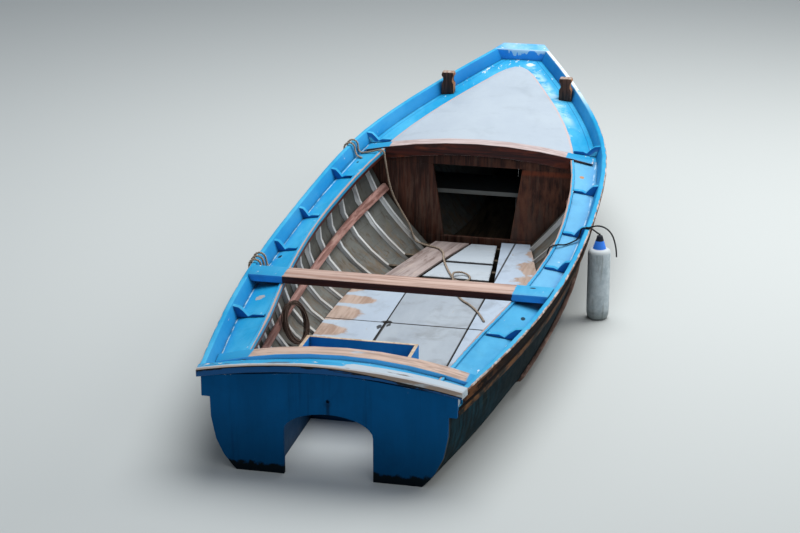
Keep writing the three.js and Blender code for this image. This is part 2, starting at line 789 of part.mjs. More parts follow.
const soleBoards = [
  ['sole_aft_port', marginBoard(soleAftEnd, aftEdge, -1, [[portEdge, aftEdge], [portEdge, soleAftEnd]])],
  ['sole_aft_centre', plainBoard([portSeam, starboardSeam], [wellClear, aftEdge])],
  ['sole_aft_starboard', marginBoard(soleAftEnd, aftEdge, 1,
    [[starboardEdge, aftEdge], [starboardEdge, soleAftEnd]])],
  ['sole_mid_port', marginBoard(soleSeam, 60, -1, [[portEdge, 60], [portEdge, soleSeam]])],
  ['sole_mid_centre', plainBoard([portSeam, starboardSeam], [soleSeam, 262])],
  ['sole_fore_starboard', marginBoard(soleSeam, soleForeEnd, 1,
    [[196, soleForeEnd], [starboardEdge, 262], [starboardEdge, soleSeam]])],
];

function soleBoard(outline) {
  const blank = flatPiece(outline, soleTop - soleThickness, soleTop);
  return without(blank, [...grownSides, wellBlock]);
}

soleBoards.forEach(([name, outline]) => addPiece(name, soleBoard(outline), paint.paleSole));

// Loose boards in the sole. Columns: name, outline seen from above as [x, y] points, finish
const looseBoards = [
  ['hatch_board_aft', [[-228, 322], [258, 322], [226, 650], [-148, 650]], paint.paleSole],
  ['hatch_board_fore', [[-132, 690], [220, 690], [174, 1104], [-22, 1104]], paint.paleSole],
  ['loose_plank', [[-550, 74], [-285, 74], [-272, 276], [-176, 664], [-40, 1112], [-300, 1112]],
    paint.bareWood],
];
looseBoards.forEach(([name, outline, finish]) => {
  addPiece(name, flatPiece(outline, soleTop - soleThickness, soleTop), finish);
});

// Two bitts against the toe rail on the foredeck
const bittY = 2400;
const bittHalf = 50;
const bittTop = railTop(bittY) + 92;

function bitt(side) {
  const middle = side * (camberEdge(bittY + 45) - bittHalf + 8);
  const low = deckTop(bittY, middle) - 20;
  const starboard = [
    [bittHalf, low], [bittHalf, bittTop - 96], [bittHalf - 13, bittTop - 72],
    [bittHalf - 11, bittTop - 46], [bittHalf + 2, bittTop - 26], [bittHalf - 4, bittTop],
  ];
  const port = starboard.map(([x, z]) => [-x, z]).reverse();
  const outline = [...starboard, ...port].map(([x, z]) => [x + middle, z]);
  return without(crossPiece(outline, bittY - 36, bittY + 36), [...grownDecks, ...grownRails]);
}

addPiece('bitt_port', bitt(-1), paint.weathered);
addPiece('bitt_starboard', bitt(1), paint.weathered);

// Fender against the starboard rail: a tube with domed ends and an eye at the top
const fenderRadius = 77;
const fenderY = -300;
const fenderX = railHalf(fenderY) + fenderRadius + 0.6;
const fenderLow = draught - 25;

function fender() {
  const profile = [
    [0, 0], [26, 0], [52, 14], [70, 40], [fenderRadius, 76], [fenderRadius, 494], [74, 508],
    [66, 518], [52, 525], [44, 530], [34, 562], [24, 592], [20, 614], [0, 614],
  ].map(([r, z]) => new THREE.Vector2(r, z));
  const geometry = new THREE.LatheGeometry(profile, 24);
  geometry.rotateX(Math.PI / 2);
  geometry.translate(fenderX, fenderY, fenderLow);
  return solidOfGeometry(geometry);
}

addPiece('fender', fender(), paint.fenderGrey);

// Ropes. Routes are [x, y, z] points along the middle of each rope
const ropeSides = 8;          // an arc of a shape has two sides for each curve segment

function ropeAlong(route, diameter, steps) {
  const shape = new THREE.Shape();
  shape.absarc(0, 0, diameter / 2, 0, 2 * Math.PI, false);
  const points = route.map((point) => new THREE.Vector3(...point));
  const path = new THREE.CatmullRomCurve3(points, false, 'centripetal');
  const geometry = new THREE.ExtrudeGeometry(shape, {
    steps, extrudePath: path, bevelEnabled: false, curveSegments: ropeSides / 2,
  });
  return solidOfGeometry(geometry);
}

const lanyardDiameter = 12;
const lanyardRoute = [
  [872, -566, 420], [850, -556, 470], [818, -540, 520], [805, -528, 575], [806, -510, 640],
  [815, -488, 678], [836, -462, 687], [864, -430, 684.5], [900, -370, 668], [940, -290, 664],
  [970, -232, 674], [981, -208, 706], [986, -203, 728], [999, -200, 739.2], [1022, -199, 738.9],
  [1043, -200, 739.2], [1060, -208, 738.6], [1082, -234, 736.8], [1102, -265, 735.9],
  [1114, -282, 735.6], [1128, -300, 735.6],
];
const lanyardTailRoute = [
  [1012, -184, 739.3], [1035, -183, 739.4], [1060, -182, 748], [1092, -182, 755], [1130, -182, 751],
  [1168, -183, 730], [1198, -185, 692], [1216, -187, 642], [1226, -188, 592], [1230, -188, 545],
];
const mooringDiameter = 16;
// The mooring rope has a turn over the port rail, then drops into the boat and loops on the boards
const mooringHitchRoute = [
  [-845, 1016, 766], [-868, 1040, 764.5], [-890, 1062, 766.5], [-906, 1077, 780], [-915, 1085, 799],
  [-917, 1087, 814], [-922, 1087, 834], [-937.5, 1087, 849.5], [-958, 1087, 855], [-978, 1087, 849],
  [-993, 1087, 833], [-998, 1087, 813], [-997, 1087, 790], [-996, 1091.5, 773.5], [-995, 1103.5, 761.5],
  [-994, 1120, 757], [-992.5, 1136.5, 761.5], [-991, 1148.5, 773.5], [-990, 1153, 790],
  [-989, 1153, 821], [-983.5, 1153, 841], [-969, 1153, 855.5], [-949, 1153, 861], [-929, 1153, 855.5],
  [-914.5, 1153, 841], [-909, 1153, 821], [-907, 1151.5, 801], [-903, 1149.5, 785], [-892, 1145.5, 773.5],
  [-877, 1140.4, 769], [-850, 1131, 775],
];
const mooringRoute = [
  [-849.7, 1130.9, 775.1], [-823, 1121.6, 781], [-775, 1114, 795], [-738, 1104, 808],
  [-712, 1098, 812], [-694, 1093, 798], [-686, 1092, 750], [-672, 1095, 660], [-655, 1100, 560],
  [-625, 1105, 460], [-565, 1100, 350], [-500, 1085, 250], [-462, 1065, 168], [-434, 1040, 134],
  [-392, 1010, 128.4], [-320, 965, 128.4], [-240, 925, 128.4], [-185, 840, 128.4], [-150, 700, 128.4],
  [-90, 520, 128.4], [-30, 370, 128.4], [25, 262, 128.4], [85, 232, 128.4], [122, 284, 128.4],
  [108, 362, 131], [50, 398, 140], [2, 356, 149], [2, 288, 151], [24, 200, 143], [64, 80, 130],
  [104, -36, 128.4], [160, -140, 128.4], [232, -226, 128.4], [310, -352, 128.4], [385, -515, 128.4],
];

// A second rope is hitched on the port rail beside the thwart
const railHitchRoute = [
  [-880, -1322, 636], [-904, -1302, 632], [-930, -1284, 630], [-948, -1271, 642], [-956, -1265, 662],
  [-957, -1264, 679], [-962, -1264, 699], [-977, -1264, 713.5], [-997, -1264, 719], [-1017, -1264, 713.5],
  [-1031.5, -1264, 699], [-1037, -1264, 679], [-1037, -1264, 655], [-1037, -1259.5, 638.5],
  [-1037.5, -1247.5, 626.5], [-1038, -1231, 622], [-1038.5, -1214.5, 626.5], [-1039, -1202.5, 638.5],
  [-1040, -1198, 655], [-1040.5, -1198, 680], [-1035, -1198, 700], [-1020.5, -1198, 714.5],
  [-1000.5, -1198, 720], [-980.5, -1198, 714.5], [-966, -1198, 700], [-960.5, -1198, 680],
  [-957, -1198, 657.5], [-951.5, -1193.5, 641.5], [-946.5, -1181.5, 630], [-944.5, -1165, 625.5],
  [-946.5, -1148.5, 630], [-951.5, -1136.5, 641.5], [-957.5, -1132, 657.5], [-963, -1132, 681],
  [-969.5, -1132, 701], [-984, -1132, 715.5], [-1004, -1132, 721], [-1024, -1132, 715.5],
  [-1038.5, -1132, 701], [-1044, -1132, 681], [-1045, -1133, 655], [-1045, -1137, 615],
  [-1045, -1143, 568], [-1045, -1146, 520],
];

addPiece('fender_lanyard', ropeAlong(lanyardRoute, lanyardDiameter, 38), paint.blackRope);
addPiece('fender_lanyard_tail', ropeAlong(lanyardTailRoute, lanyardDiameter, 14), paint.blackRope);
addPiece('bow_hitch', ropeAlong(mooringHitchRoute, mooringDiameter, 44), paint.rope);
addPiece('bow_rope', ropeAlong(mooringRoute, mooringDiameter, 80), paint.rope);
addPiece('rail_hitch', ropeAlong(railHitchRoute, mooringDiameter, 72), paint.brownRope);

// A hank of rope over the port stringer, hanging against the ribs
const hankWidth = 230;
const hankHeight = 300;
const hankThickness = 46;
const hankTilt = 0.30;        // leans outboard
const hankTurn = 0.50;        // its fore side stands off the hull
const hankPlace = [-736.6, -1235, 292];

function hank() {
  const straight = (hankHeight - hankWidth) / 2;
  const shape = new THREE.Shape();
  shape.absarc(0, straight, hankWidth / 2, 0, Math.PI, false);
  shape.absarc(0, -straight, hankWidth / 2, Math.PI, 2 * Math.PI, false);
  const settings = { depth: hankThickness, bevelEnabled: false, curveSegments: 8 };
  const geometry = new THREE.ExtrudeGeometry(shape, settings);
  geometry.translate(0, 0, -hankThickness / 2);
  geometry.rotateX(Math.PI / 2);
  geometry.rotateZ(Math.PI / 2);
  geometry.rotateY(-hankTilt);
  geometry.rotateZ(-hankTurn);
  geometry.translate(...hankPlace);
  return solidOfGeometry(geometry);
}

addPiece('rope_hank', hank(), paint.brownRope);

export default boat;
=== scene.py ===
import json
import math
import bpy
from mathutils import Matrix, Vector
from numpy.polynomial.polynomial import polyfit

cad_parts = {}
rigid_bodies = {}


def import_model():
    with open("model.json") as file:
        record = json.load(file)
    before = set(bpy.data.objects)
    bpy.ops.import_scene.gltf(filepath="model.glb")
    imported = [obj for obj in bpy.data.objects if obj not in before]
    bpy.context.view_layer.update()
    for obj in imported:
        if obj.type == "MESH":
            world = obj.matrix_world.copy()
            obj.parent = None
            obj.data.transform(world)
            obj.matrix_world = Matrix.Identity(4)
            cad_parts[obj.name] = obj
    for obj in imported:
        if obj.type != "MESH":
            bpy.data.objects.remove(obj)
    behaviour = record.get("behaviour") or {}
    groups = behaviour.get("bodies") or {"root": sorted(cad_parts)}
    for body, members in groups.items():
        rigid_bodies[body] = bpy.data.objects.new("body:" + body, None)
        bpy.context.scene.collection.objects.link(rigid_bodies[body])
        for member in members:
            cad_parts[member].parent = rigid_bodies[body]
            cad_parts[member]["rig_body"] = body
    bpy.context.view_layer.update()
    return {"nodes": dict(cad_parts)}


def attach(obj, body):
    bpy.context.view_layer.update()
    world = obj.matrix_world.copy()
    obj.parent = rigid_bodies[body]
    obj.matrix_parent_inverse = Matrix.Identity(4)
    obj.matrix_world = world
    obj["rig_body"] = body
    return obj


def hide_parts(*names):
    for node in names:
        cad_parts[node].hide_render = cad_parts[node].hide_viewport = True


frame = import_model()
nodes = frame["nodes"]
scene = bpy.context.scene
print("frame loaded:", len(nodes), "solids")

# The camera stands high astern and looks down along the boat
view = {"place": (2.860, -13.838, 5.261), "aim": (-0.035, -1.236, 0.736), "lens": 96,
        "sensor": 36, "reach": 200}


def makeCamera():
    data = bpy.data.cameras.new("highView")
    camera = bpy.data.objects.new("highView", data)
    scene.collection.objects.link(camera)
    data.lens = view["lens"]
    data.sensor_width = view["sensor"]
    data.clip_end = view["reach"]
    camera.location = view["place"]
    toBoat = Vector(view["aim"]) - Vector(view["place"])
    camera.rotation_euler = toBoat.to_track_quat("-Z", "Y").to_euler()
    scene.camera = camera


makeCamera()
print("camera made")


# Small helpers for meshes
def newMeshPiece(name, points, faces, uv=None):
    mesh = bpy.data.meshes.new(name)
    mesh.from_pydata(points, [], faces)
    if uv:
        layer = mesh.uv_layers.new(name="alongRope")
        for loop in mesh.loops:
            layer.data[loop.index].uv = uv[loop.vertex_index]
    piece = bpy.data.objects.new(name, mesh)
    scene.collection.objects.link(piece)
    return piece


def selectOnly(piece):
    bpy.ops.object.select_all(action="DESELECT")
    piece.select_set(True)
    bpy.context.view_layer.objects.active = piece


def smoothRoute(points, spacing):
    # A smooth line through the points, as in the solids' own tubes, with points at even spacing
    corners = [Vector(p) for p in points]
    fine = []
    for i in range(len(corners) - 1):
        p1 = corners[i]
        p2 = corners[i + 1]
        p0 = corners[i - 1] if i > 0 else p1 * 2 - p2
        p3 = corners[i + 2] if i + 2 < len(corners) else p2 * 2 - p1
        d0 = max((p1 - p0).length ** 0.5, 1e-4)
        d1 = max((p2 - p1).length ** 0.5, 1e-4)
        d2 = max((p3 - p2).length ** 0.5, 1e-4)
        lead1 = ((p1 - p0) / d0 - (p2 - p0) / (d0 + d1) + (p2 - p1) / d1) * d1
        lead2 = ((p2 - p1) / d1 - (p3 - p1) / (d1 + d2) + (p3 - p2) / d2) * d1
        steps = max(2, math.ceil((p2 - p1).length / spacing * 4))
        for k in range(steps):
            t = k / steps
            fine.append(p1 + lead1 * t + (p1 * -3 + p2 * 3 - lead1 * 2 - lead2) * t * t
                        + (p1 * 2 - p2 * 2 + lead1 + lead2) * t ** 3)
    fine.append(corners[-1])
    total = sum((b - a).length for a, b in zip(fine, fine[1:]))
    count = max(2, round(total / spacing))
    even = [fine[0]]
    walked = 0
    for a, b in zip(fine, fine[1:]):
        step = (b - a).length
        while len(even) <= count and step > 0 and walked + step >= total * len(even) / count - 1e-9:
            even.append(a.lerp(b, (total * len(even) / count - walked) / step))
        walked += step
    return even


def routeLength(points):
    return sum((b - a).length for a, b in zip(points, points[1:]))


# A laid rope: its strands, the length of one turn in diameters, the sides of a strand, and a
# strand's radius, which is also its distance from the middle, as a share of the diameter
ropeLay = {"strands": 3, "turn": 3.4, "sides": 6, "strand": 0.25}


def layRope(name, line, diameter):
    # Strands twisted round the line
    strands, sides = ropeLay["strands"], ropeLay["sides"]
    radius = diameter * ropeLay["strand"]
    points = []
    faces = []
    uv = []
    along = (line[1] - line[0]).normalized()
    across = along.orthogonal().normalized()
    walked = 0
    frames = []
    for i, point in enumerate(line):
        ahead = (line[min(i + 1, len(line) - 1)] - line[max(i - 1, 0)]).normalized()
        across = (across - ahead * across.dot(ahead)).normalized()
        walked += (point - line[i - 1]).length if i else 0
        frames.append((point, across.copy(), ahead.cross(across), walked))
    for strand in range(strands):
        first = len(points)
        for point, u, v, walked in frames:
            turn = 2 * math.pi * (strand / strands + walked / (ropeLay["turn"] * diameter))
            middle = point + (u * math.cos(turn) + v * math.sin(turn)) * radius
            for side in range(sides):
                angle = turn + 2 * math.pi * side / sides
                points.append(middle + (u * math.cos(angle) + v * math.sin(angle)) * radius)
                uv.append((walked, (strand + side / sides) / strands))
        rings = len(frames)
        for ring in range(rings - 1):
            for side in range(sides):
                a = first + ring * sides + side
                b = first + ring * sides + (side + 1) % sides
                faces.append((a, b, b + sides, a + sides))
        faces.append([first + side for side in reversed(range(sides))])
        faces.append([first + (rings - 1) * sides + side for side in range(sides)])
    piece = newMeshPiece(name, points, faces, uv)
    for face in piece.data.polygons:
        face.use_smooth = True
    return piece


# Cords. The routes are those of the solids
fenderCord = {
    "diameter": 0.012,
    "spacing": 0.004,
    "route": [
        (0.872, -0.566, 0.42), (0.85, -0.556, 0.47), (0.818, -0.54, 0.52), (0.805, -0.528, 0.575),
        (0.806, -0.51, 0.64), (0.815, -0.488, 0.678), (0.836, -0.462, 0.687), (0.864, -0.43, 0.6845),
        (0.9, -0.37, 0.668), (0.94, -0.29, 0.664), (0.97, -0.232, 0.674), (0.981, -0.208, 0.706),
        (0.986, -0.203, 0.728), (0.999, -0.2, 0.7392), (1.022, -0.199, 0.7389), (1.043, -0.2, 0.7392),
        (1.06, -0.208, 0.7386), (1.082, -0.234, 0.7368), (1.102, -0.265, 0.7359),
        (1.114, -0.282, 0.7356), (1.128, -0.3, 0.7356)],
    "tail": [
        (1.012, -0.184, 0.7393), (1.035, -0.183, 0.7394), (1.06, -0.182, 0.748),
        (1.092, -0.182, 0.755), (1.13, -0.182, 0.751), (1.168, -0.183, 0.73), (1.198, -0.185, 0.692),
        (1.216, -0.187, 0.642), (1.226, -0.188, 0.592), (1.23, -0.188, 0.545)],
}
# From the hitch's loose end round the rail, then down to the boards and aft
bowCord = {
    "diameter": 0.016,
    "spacing": 0.0055,
    "route": [
        (-0.845, 1.016, 0.766), (-0.868, 1.04, 0.7645), (-0.89, 1.062, 0.7665), (-0.906, 1.077, 0.78),
        (-0.915, 1.085, 0.799), (-0.917, 1.087, 0.814), (-0.922, 1.087, 0.834),
        (-0.9375, 1.087, 0.8495), (-0.958, 1.087, 0.855), (-0.978, 1.087, 0.849),
        (-0.993, 1.087, 0.833), (-0.998, 1.087, 0.813), (-0.997, 1.087, 0.79),
        (-0.996, 1.0915, 0.7735), (-0.995, 1.1035, 0.7615), (-0.994, 1.12, 0.757),
        (-0.9925, 1.1365, 0.7615), (-0.991, 1.1485, 0.7735), (-0.99, 1.153, 0.79),
        (-0.989, 1.153, 0.821), (-0.9835, 1.153, 0.841), (-0.969, 1.153, 0.8555),
        (-0.949, 1.153, 0.861), (-0.929, 1.153, 0.8555), (-0.9145, 1.153, 0.841),
        (-0.909, 1.153, 0.821), (-0.907, 1.1515, 0.801), (-0.903, 1.1495, 0.785),
        (-0.892, 1.1455, 0.7735), (-0.877, 1.1404, 0.769), (-0.8497, 1.1309, 0.7751),
        (-0.823, 1.1216, 0.781), (-0.775, 1.114, 0.795), (-0.738, 1.104, 0.808),
        (-0.712, 1.098, 0.812), (-0.694, 1.093, 0.798), (-0.686, 1.092, 0.75), (-0.672, 1.095, 0.66),
        (-0.655, 1.1, 0.56), (-0.625, 1.105, 0.46), (-0.565, 1.1, 0.35), (-0.5, 1.085, 0.25),
        (-0.462, 1.065, 0.168), (-0.434, 1.04, 0.134), (-0.392, 1.01, 0.1284), (-0.32, 0.965, 0.1284),
        (-0.24, 0.925, 0.1284), (-0.185, 0.84, 0.1284), (-0.15, 0.7, 0.1284), (-0.09, 0.52, 0.1284),
        (-0.03, 0.37, 0.1284), (0.025, 0.262, 0.1284), (0.085, 0.232, 0.1284), (0.122, 0.284, 0.1284),
        (0.108, 0.362, 0.131), (0.05, 0.398, 0.14), (0.002, 0.356, 0.149), (0.002, 0.288, 0.151),
        (0.024, 0.2, 0.143), (0.064, 0.08, 0.13), (0.104, -0.036, 0.1284), (0.16, -0.14, 0.1284),
        (0.232, -0.226, 0.1284), (0.31, -0.352, 0.1284), (0.385, -0.515, 0.1284)],
}
railCord = {
    "diameter": 0.016,
    "spacing": 0.005,
    "route": [
        (-0.88, -1.322, 0.636), (-0.904, -1.302, 0.632), (-0.93, -1.284, 0.63),
        (-0.948, -1.271, 0.642), (-0.956, -1.265, 0.662), (-0.957, -1.264, 0.679),
        (-0.962, -1.264, 0.699), (-0.977, -1.264, 0.7135), (-0.997, -1.264, 0.719),
        (-1.017, -1.264, 0.7135), (-1.0315, -1.264, 0.699), (-1.037, -1.264, 0.679),
        (-1.037, -1.264, 0.655), (-1.037, -1.2595, 0.6385), (-1.0375, -1.2475, 0.6265),
        (-1.038, -1.231, 0.622), (-1.0385, -1.2145, 0.6265), (-1.039, -1.2025, 0.6385),
        (-1.04, -1.198, 0.655), (-1.0405, -1.198, 0.68), (-1.035, -1.198, 0.7),
        (-1.0205, -1.198, 0.7145), (-1.0005, -1.198, 0.72), (-0.9805, -1.198, 0.7145),
        (-0.966, -1.198, 0.7), (-0.9605, -1.198, 0.68), (-0.957, -1.198, 0.6575),
        (-0.9515, -1.1935, 0.6415), (-0.9465, -1.1815, 0.63), (-0.9445, -1.165, 0.6255),
        (-0.9465, -1.1485, 0.63), (-0.9515, -1.1365, 0.6415), (-0.9575, -1.132, 0.6575),
        (-0.963, -1.132, 0.681), (-0.9695, -1.132, 0.701), (-0.984, -1.132, 0.7155),
        (-1.004, -1.132, 0.721), (-1.024, -1.132, 0.7155), (-1.0385, -1.132, 0.701),
        (-1.044, -1.132, 0.681), (-1.045, -1.133, 0.655), (-1.045, -1.137, 0.615),
        (-1.045, -1.143, 0.568), (-1.045, -1.146, 0.52)],
}
hankCord = {
    "diameter": 0.011,
    "spacing": 0.0055,
    "centre": (-0.7366, -1.235, 0.292),
    "wide": 0.230,
    "high": 0.300,
    "thick": 0.046,
    "tilt": 0.30,
    "turn": 0.50,
    "loops": 9,
    "pointsPerLoop": 20,
    "shrink": 0.006,  # each loop by this, by up to the looseness more, and by a wobble
    "looseness": 0.030,
    "wobble": 0.004,
    "shrinkUp": 0.8,  # how much of the shrink shows up and down
    "press": 0.9,  # how far the loops are pressed together
}


def hankLine():
    # Loops of an old line hung together, each a little off the last
    size = hankCord
    lean = Matrix.Rotation(-size["turn"], 4, "Z") @ Matrix.Rotation(-size["tilt"], 4, "Y")
    room = size["diameter"] / 2
    perLoop = size["pointsPerLoop"]
    count = size["loops"] * perLoop
    points = []
    for step in range(count + 1):
        loop = step // perLoop
        angle = 2 * math.pi * step / perLoop
        loose = size["looseness"] * (loop * 5 % 4) / 4
        shrink = size["shrink"] + loose + size["wobble"] * math.sin(angle * 3 + loop)
        x = (size["thick"] / 2 - room) * math.sin(3 * math.pi * step / count + loop)
        y = math.sin(angle) * (size["wide"] / 2 - room - shrink)
        z = math.cos(angle) * (size["high"] / 2 - room - shrink * size["shrinkUp"])
        points.append(Vector(size["centre"]) + lean @ Vector((x * size["press"], y, z)))
    return points


# Each cord: piece, its values, which route, solids it stands for, slot, far end, lie
cordRows = [
    ("fenderLanyard", fenderCord, "route", ["fender_lanyard"], "black_rope", "object", "hanging"),
    ("fenderLanyardTail", fenderCord, "tail", ["fender_lanyard_tail"], "black_rope", "bare", "hanging"),
    ("mooringRope", bowCord, "route", ["bow_hitch", "bow_rope"], "tan_rope", "bare", "loose"),
    ("railHitch", railCord, "route", ["rail_hitch"], "tan_rope", "bare", "hanging"),
    ("hungLine", hankCord, None, ["rope_hank"], "brown_rope", "bare", "coiled"),
]


def makeCords():
    made = {}
    for name, size, which, solids, slotName, farEnd, lie in cordRows:
        line = smoothRoute(size[which] if which else hankLine(), size["spacing"])
        piece = layRope(name, line, size["diameter"])
        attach(piece, "root")
        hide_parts(*solids)
        tuple(line[0])
        routeLength(line)
        [tuple(p) for p in line]
        print("cord", name, round(routeLength(line), 3), "m")
        made[name] = piece
    return made


cords = makeCords()


# A colour written as hex digits, turned to the linear values that shaders take
def tone(text):
    parts = [int(text[i:i + 2], 16) / 255 for i in (1, 3, 5)]
    return tuple(c / 12.92 if c <= 0.04045 else ((c + 0.055) / 1.055) ** 2.4 for c in parts) + (1.0,)


def asTone(colour):
    return tone(colour) if isinstance(colour, str) else colour


# Helpers for shader trees. A value is a number, a colour, a vector or another node's socket
def put(tree, value, socket):
    if isinstance(value, bpy.types.NodeSocket):
        tree.links.new(value, socket)
    elif value is not None:
        socket.default_value = value


def calc(tree, operation, a, b=None, c=None, clamp=False):
    node = tree.nodes.new("ShaderNodeMath")
    node.operation = operation
    node.use_clamp = clamp
    for i, value in enumerate((a, b, c)):
        put(tree, value, node.inputs[i])
    return node.outputs[0]


def times(tree, product, *others):
    for other in others:
        product = calc(tree, "MULTIPLY", product, other)
    return product


def vectorCalc(tree, operation, a, b=None):
    node = tree.nodes.new("ShaderNodeVectorMath")
    node.operation = operation
    put(tree, a, node.inputs[0])
    put(tree, b, node.inputs[1])
    return node.outputs["Value"] if operation in ("LENGTH", "DOT_PRODUCT") else node.outputs[0]


def ramp(tree, value, zeroAt, fullAt):
    # A soft step from 0 to 1, which falls where the second value is the lower
    node = tree.nodes.new("ShaderNodeMapRange")
    node.interpolation_type = "SMOOTHSTEP"
    put(tree, value, node.inputs["Value"])
    put(tree, zeroAt, node.inputs["From Min"])
    put(tree, fullAt, node.inputs["From Max"])
    return node.outputs[0]


def blendTones(tree, amount, a, b):
    node = tree.nodes.new("ShaderNodeMix")
    node.data_type = "RGBA"
    put(tree, amount, node.inputs[0])
    put(tree, asTone(a), node.inputs[6])
    put(tree, asTone(b), node.inputs[7])
    return node.outputs[2]


def noiseAt(tree, vector, scale, detail, roughness, distortion=0.0):
    node = tree.nodes.new("ShaderNodeTexNoise")
    put(tree, vector, node.inputs["Vector"])
    put(tree, scale, node.inputs["Scale"])
    node.inputs["Detail"].default_value = detail
    node.inputs["Roughness"].default_value = roughness
    node.inputs["Distortion"].default_value = distortion
    return node.outputs["Fac"]


def splitVector(tree, vector):
    node = tree.nodes.new("ShaderNodeSeparateXYZ")
    put(tree, vector, node.inputs[0])
    return node.outputs


def newGroup(name, inputs, outputs):
    group = bpy.data.node_groups.new(name, "ShaderNodeTree")
    for label, kind, value in inputs:
        socket = group.interface.new_socket(name=label, in_out="INPUT", socket_type="NodeSocket" + kind)
        socket.default_value = value
    for label, kind in outputs:
        group.interface.new_socket(name=label, in_out="OUTPUT", socket_type="NodeSocket" + kind)
    start = group.nodes.new("NodeGroupInput").outputs
    end = group.nodes.new("NodeGroupOutput").inputs
    return group, start, end


def useGroup(tree, group, **values):
    node = tree.nodes.new("ShaderNodeGroup")
    node.node_tree = group
    for label, value in values.items():
        put(tree, value, node.inputs[label])
    return node.outputs


# A value that follows the boat's length, from five factors
def makeLengthCurve():
    rows = [("Along", "Float", 0.0)] + [(f"c{i}", "Float", 0.0) for i in range(5)]
    group, start, end = newGroup("lengthCurve", rows, [("Value", "Float")])
    total = start["c4"]
    for i in (3, 2, 1, 0):
        total = calc(group, "MULTIPLY_ADD", total, start["Along"], start[f"c{i}"])
    put(group, total, end["Value"])
    return group


# Lines of grain, with the direction given by how much each axis counts
def makeWoodGrain():
    group, start, end = newGroup("woodGrain", [
        ("Vector", "Vector", (0, 0, 0)), ("Run", "Vector", (1, 0.06, 1)), ("Scale", "Float", 60.0),
        ("Light", "Color", (0.5, 0.4, 0.3, 1)), ("Dark", "Color", (0.2, 0.15, 0.1, 1)),
        ("Contrast", "Float", 0.5)], [("Color", "Color"), ("Height", "Float")])
    stretched = vectorCalc(group, "MULTIPLY", start["Vector"], start["Run"])
    fine = noiseAt(group, stretched, start["Scale"], detail=5.0, roughness=0.62, distortion=0.25)
    broadScale = times(group, start["Scale"], 0.22)
    broad = noiseAt(group, stretched, broadScale, detail=2.0, roughness=0.5, distortion=0.6)
    lines = calc(group, "ADD", times(group, fine, 0.65), times(group, broad, 0.35))
    darkTo = calc(group, "MULTIPLY_ADD", start["Contrast"], -0.25, 0.5)
    lightFrom = calc(group, "SUBTRACT", 1.0, darkTo)
    mask = ramp(group, lines, darkTo, lightFrom)
    put(group, blendTones(group, mask, start["Dark"], start["Light"]), end["Color"])
    put(group, lines, end["Height"])
    return group


# Where an outer edge is rubbed: there the rounded normal differs from the plain one
def makeEdgeRub():
    group, start, end = newGroup("edgeRub", [
        ("Vector", "Vector", (0, 0, 0)), ("Radius", "Float", 0.006), ("Amount", "Float", 0.5)],
        [("Mask", "Float")])
    bevel = group.nodes.new("ShaderNodeBevel")
    bevel.samples = 3
    put(group, start["Radius"], bevel.inputs["Radius"])
    geometry = group.nodes.new("ShaderNodeNewGeometry")
    same = vectorCalc(group, "DOT_PRODUCT", bevel.outputs[0], geometry.outputs["Normal"])
    off = calc(group, "SUBTRACT", 1.0, same)
    patchy = noiseAt(group, start["Vector"], 22.0, detail=4.0, roughness=0.65)
    off = times(group, off, ramp(group, patchy, 0.36, 0.62))
    limit = calc(group, "MULTIPLY_ADD", start["Amount"], -0.16, 0.18)
    put(group, ramp(group, off, limit, calc(group, "ADD", limit, 0.05)), end["Mask"])
    return group


# Paint that fades, then chips to its primer and to wood
def makeWornPaint():
    group, start, end = newGroup("wornPaint", [
        ("Vector", "Vector", (0, 0, 0)), ("Run", "Vector", (1, 0.35, 1)),
        ("Paint", "Color", (0.1, 0.4, 0.8, 1)), ("Faded", "Color", (0.3, 0.6, 0.9, 1)),
        ("Primer", "Color", (0.8, 0.8, 0.8, 1)), ("Wood", "Color", (0.5, 0.4, 0.3, 1)),
        ("Fade", "Float", 0.5), ("Chips", "Float", 0.2), ("Extra", "Float", 0.0)],
        [("Color", "Color"), ("Height", "Float")])
    along = vectorCalc(group, "MULTIPLY", start["Vector"], start["Run"])
    broad = noiseAt(group, along, 3.2, detail=5.0, roughness=0.6)
    brushed = noiseAt(group, along, 38.0, detail=3.0, roughness=0.6)
    fadeMask = times(group, ramp(group, broad, 0.34, 0.68), start["Fade"])
    brushMarks = calc(group, "SUBTRACT", brushed, 0.5)
    fadeMask = calc(group, "MULTIPLY_ADD", brushMarks, 0.35, fadeMask, clamp=True)
    colour = blendTones(group, fadeMask, start["Paint"], start["Faded"])
    ragged = noiseAt(group, along, 26.0, detail=7.0, roughness=0.68, distortion=0.3)
    wear = calc(group, "MULTIPLY_ADD", start["Chips"], 0.26, ragged)
    wear = calc(group, "MULTIPLY_ADD", start["Extra"], 0.42, wear)
    primerMask = ramp(group, wear, 0.70, 0.735)
    woodMask = ramp(group, wear, 0.80, 0.83)
    colour = blendTones(group, primerMask, colour, start["Primer"])
    put(group, blendTones(group, woodMask, colour, start["Wood"]), end["Color"])
    depth = calc(group, "MULTIPLY_ADD", primerMask, -0.5, 1.0)
    depth = calc(group, "MULTIPLY_ADD", woodMask, -0.4, depth)
    put(group, calc(group, "MULTIPLY_ADD", brushed, 0.18, depth), end["Height"])
    return group


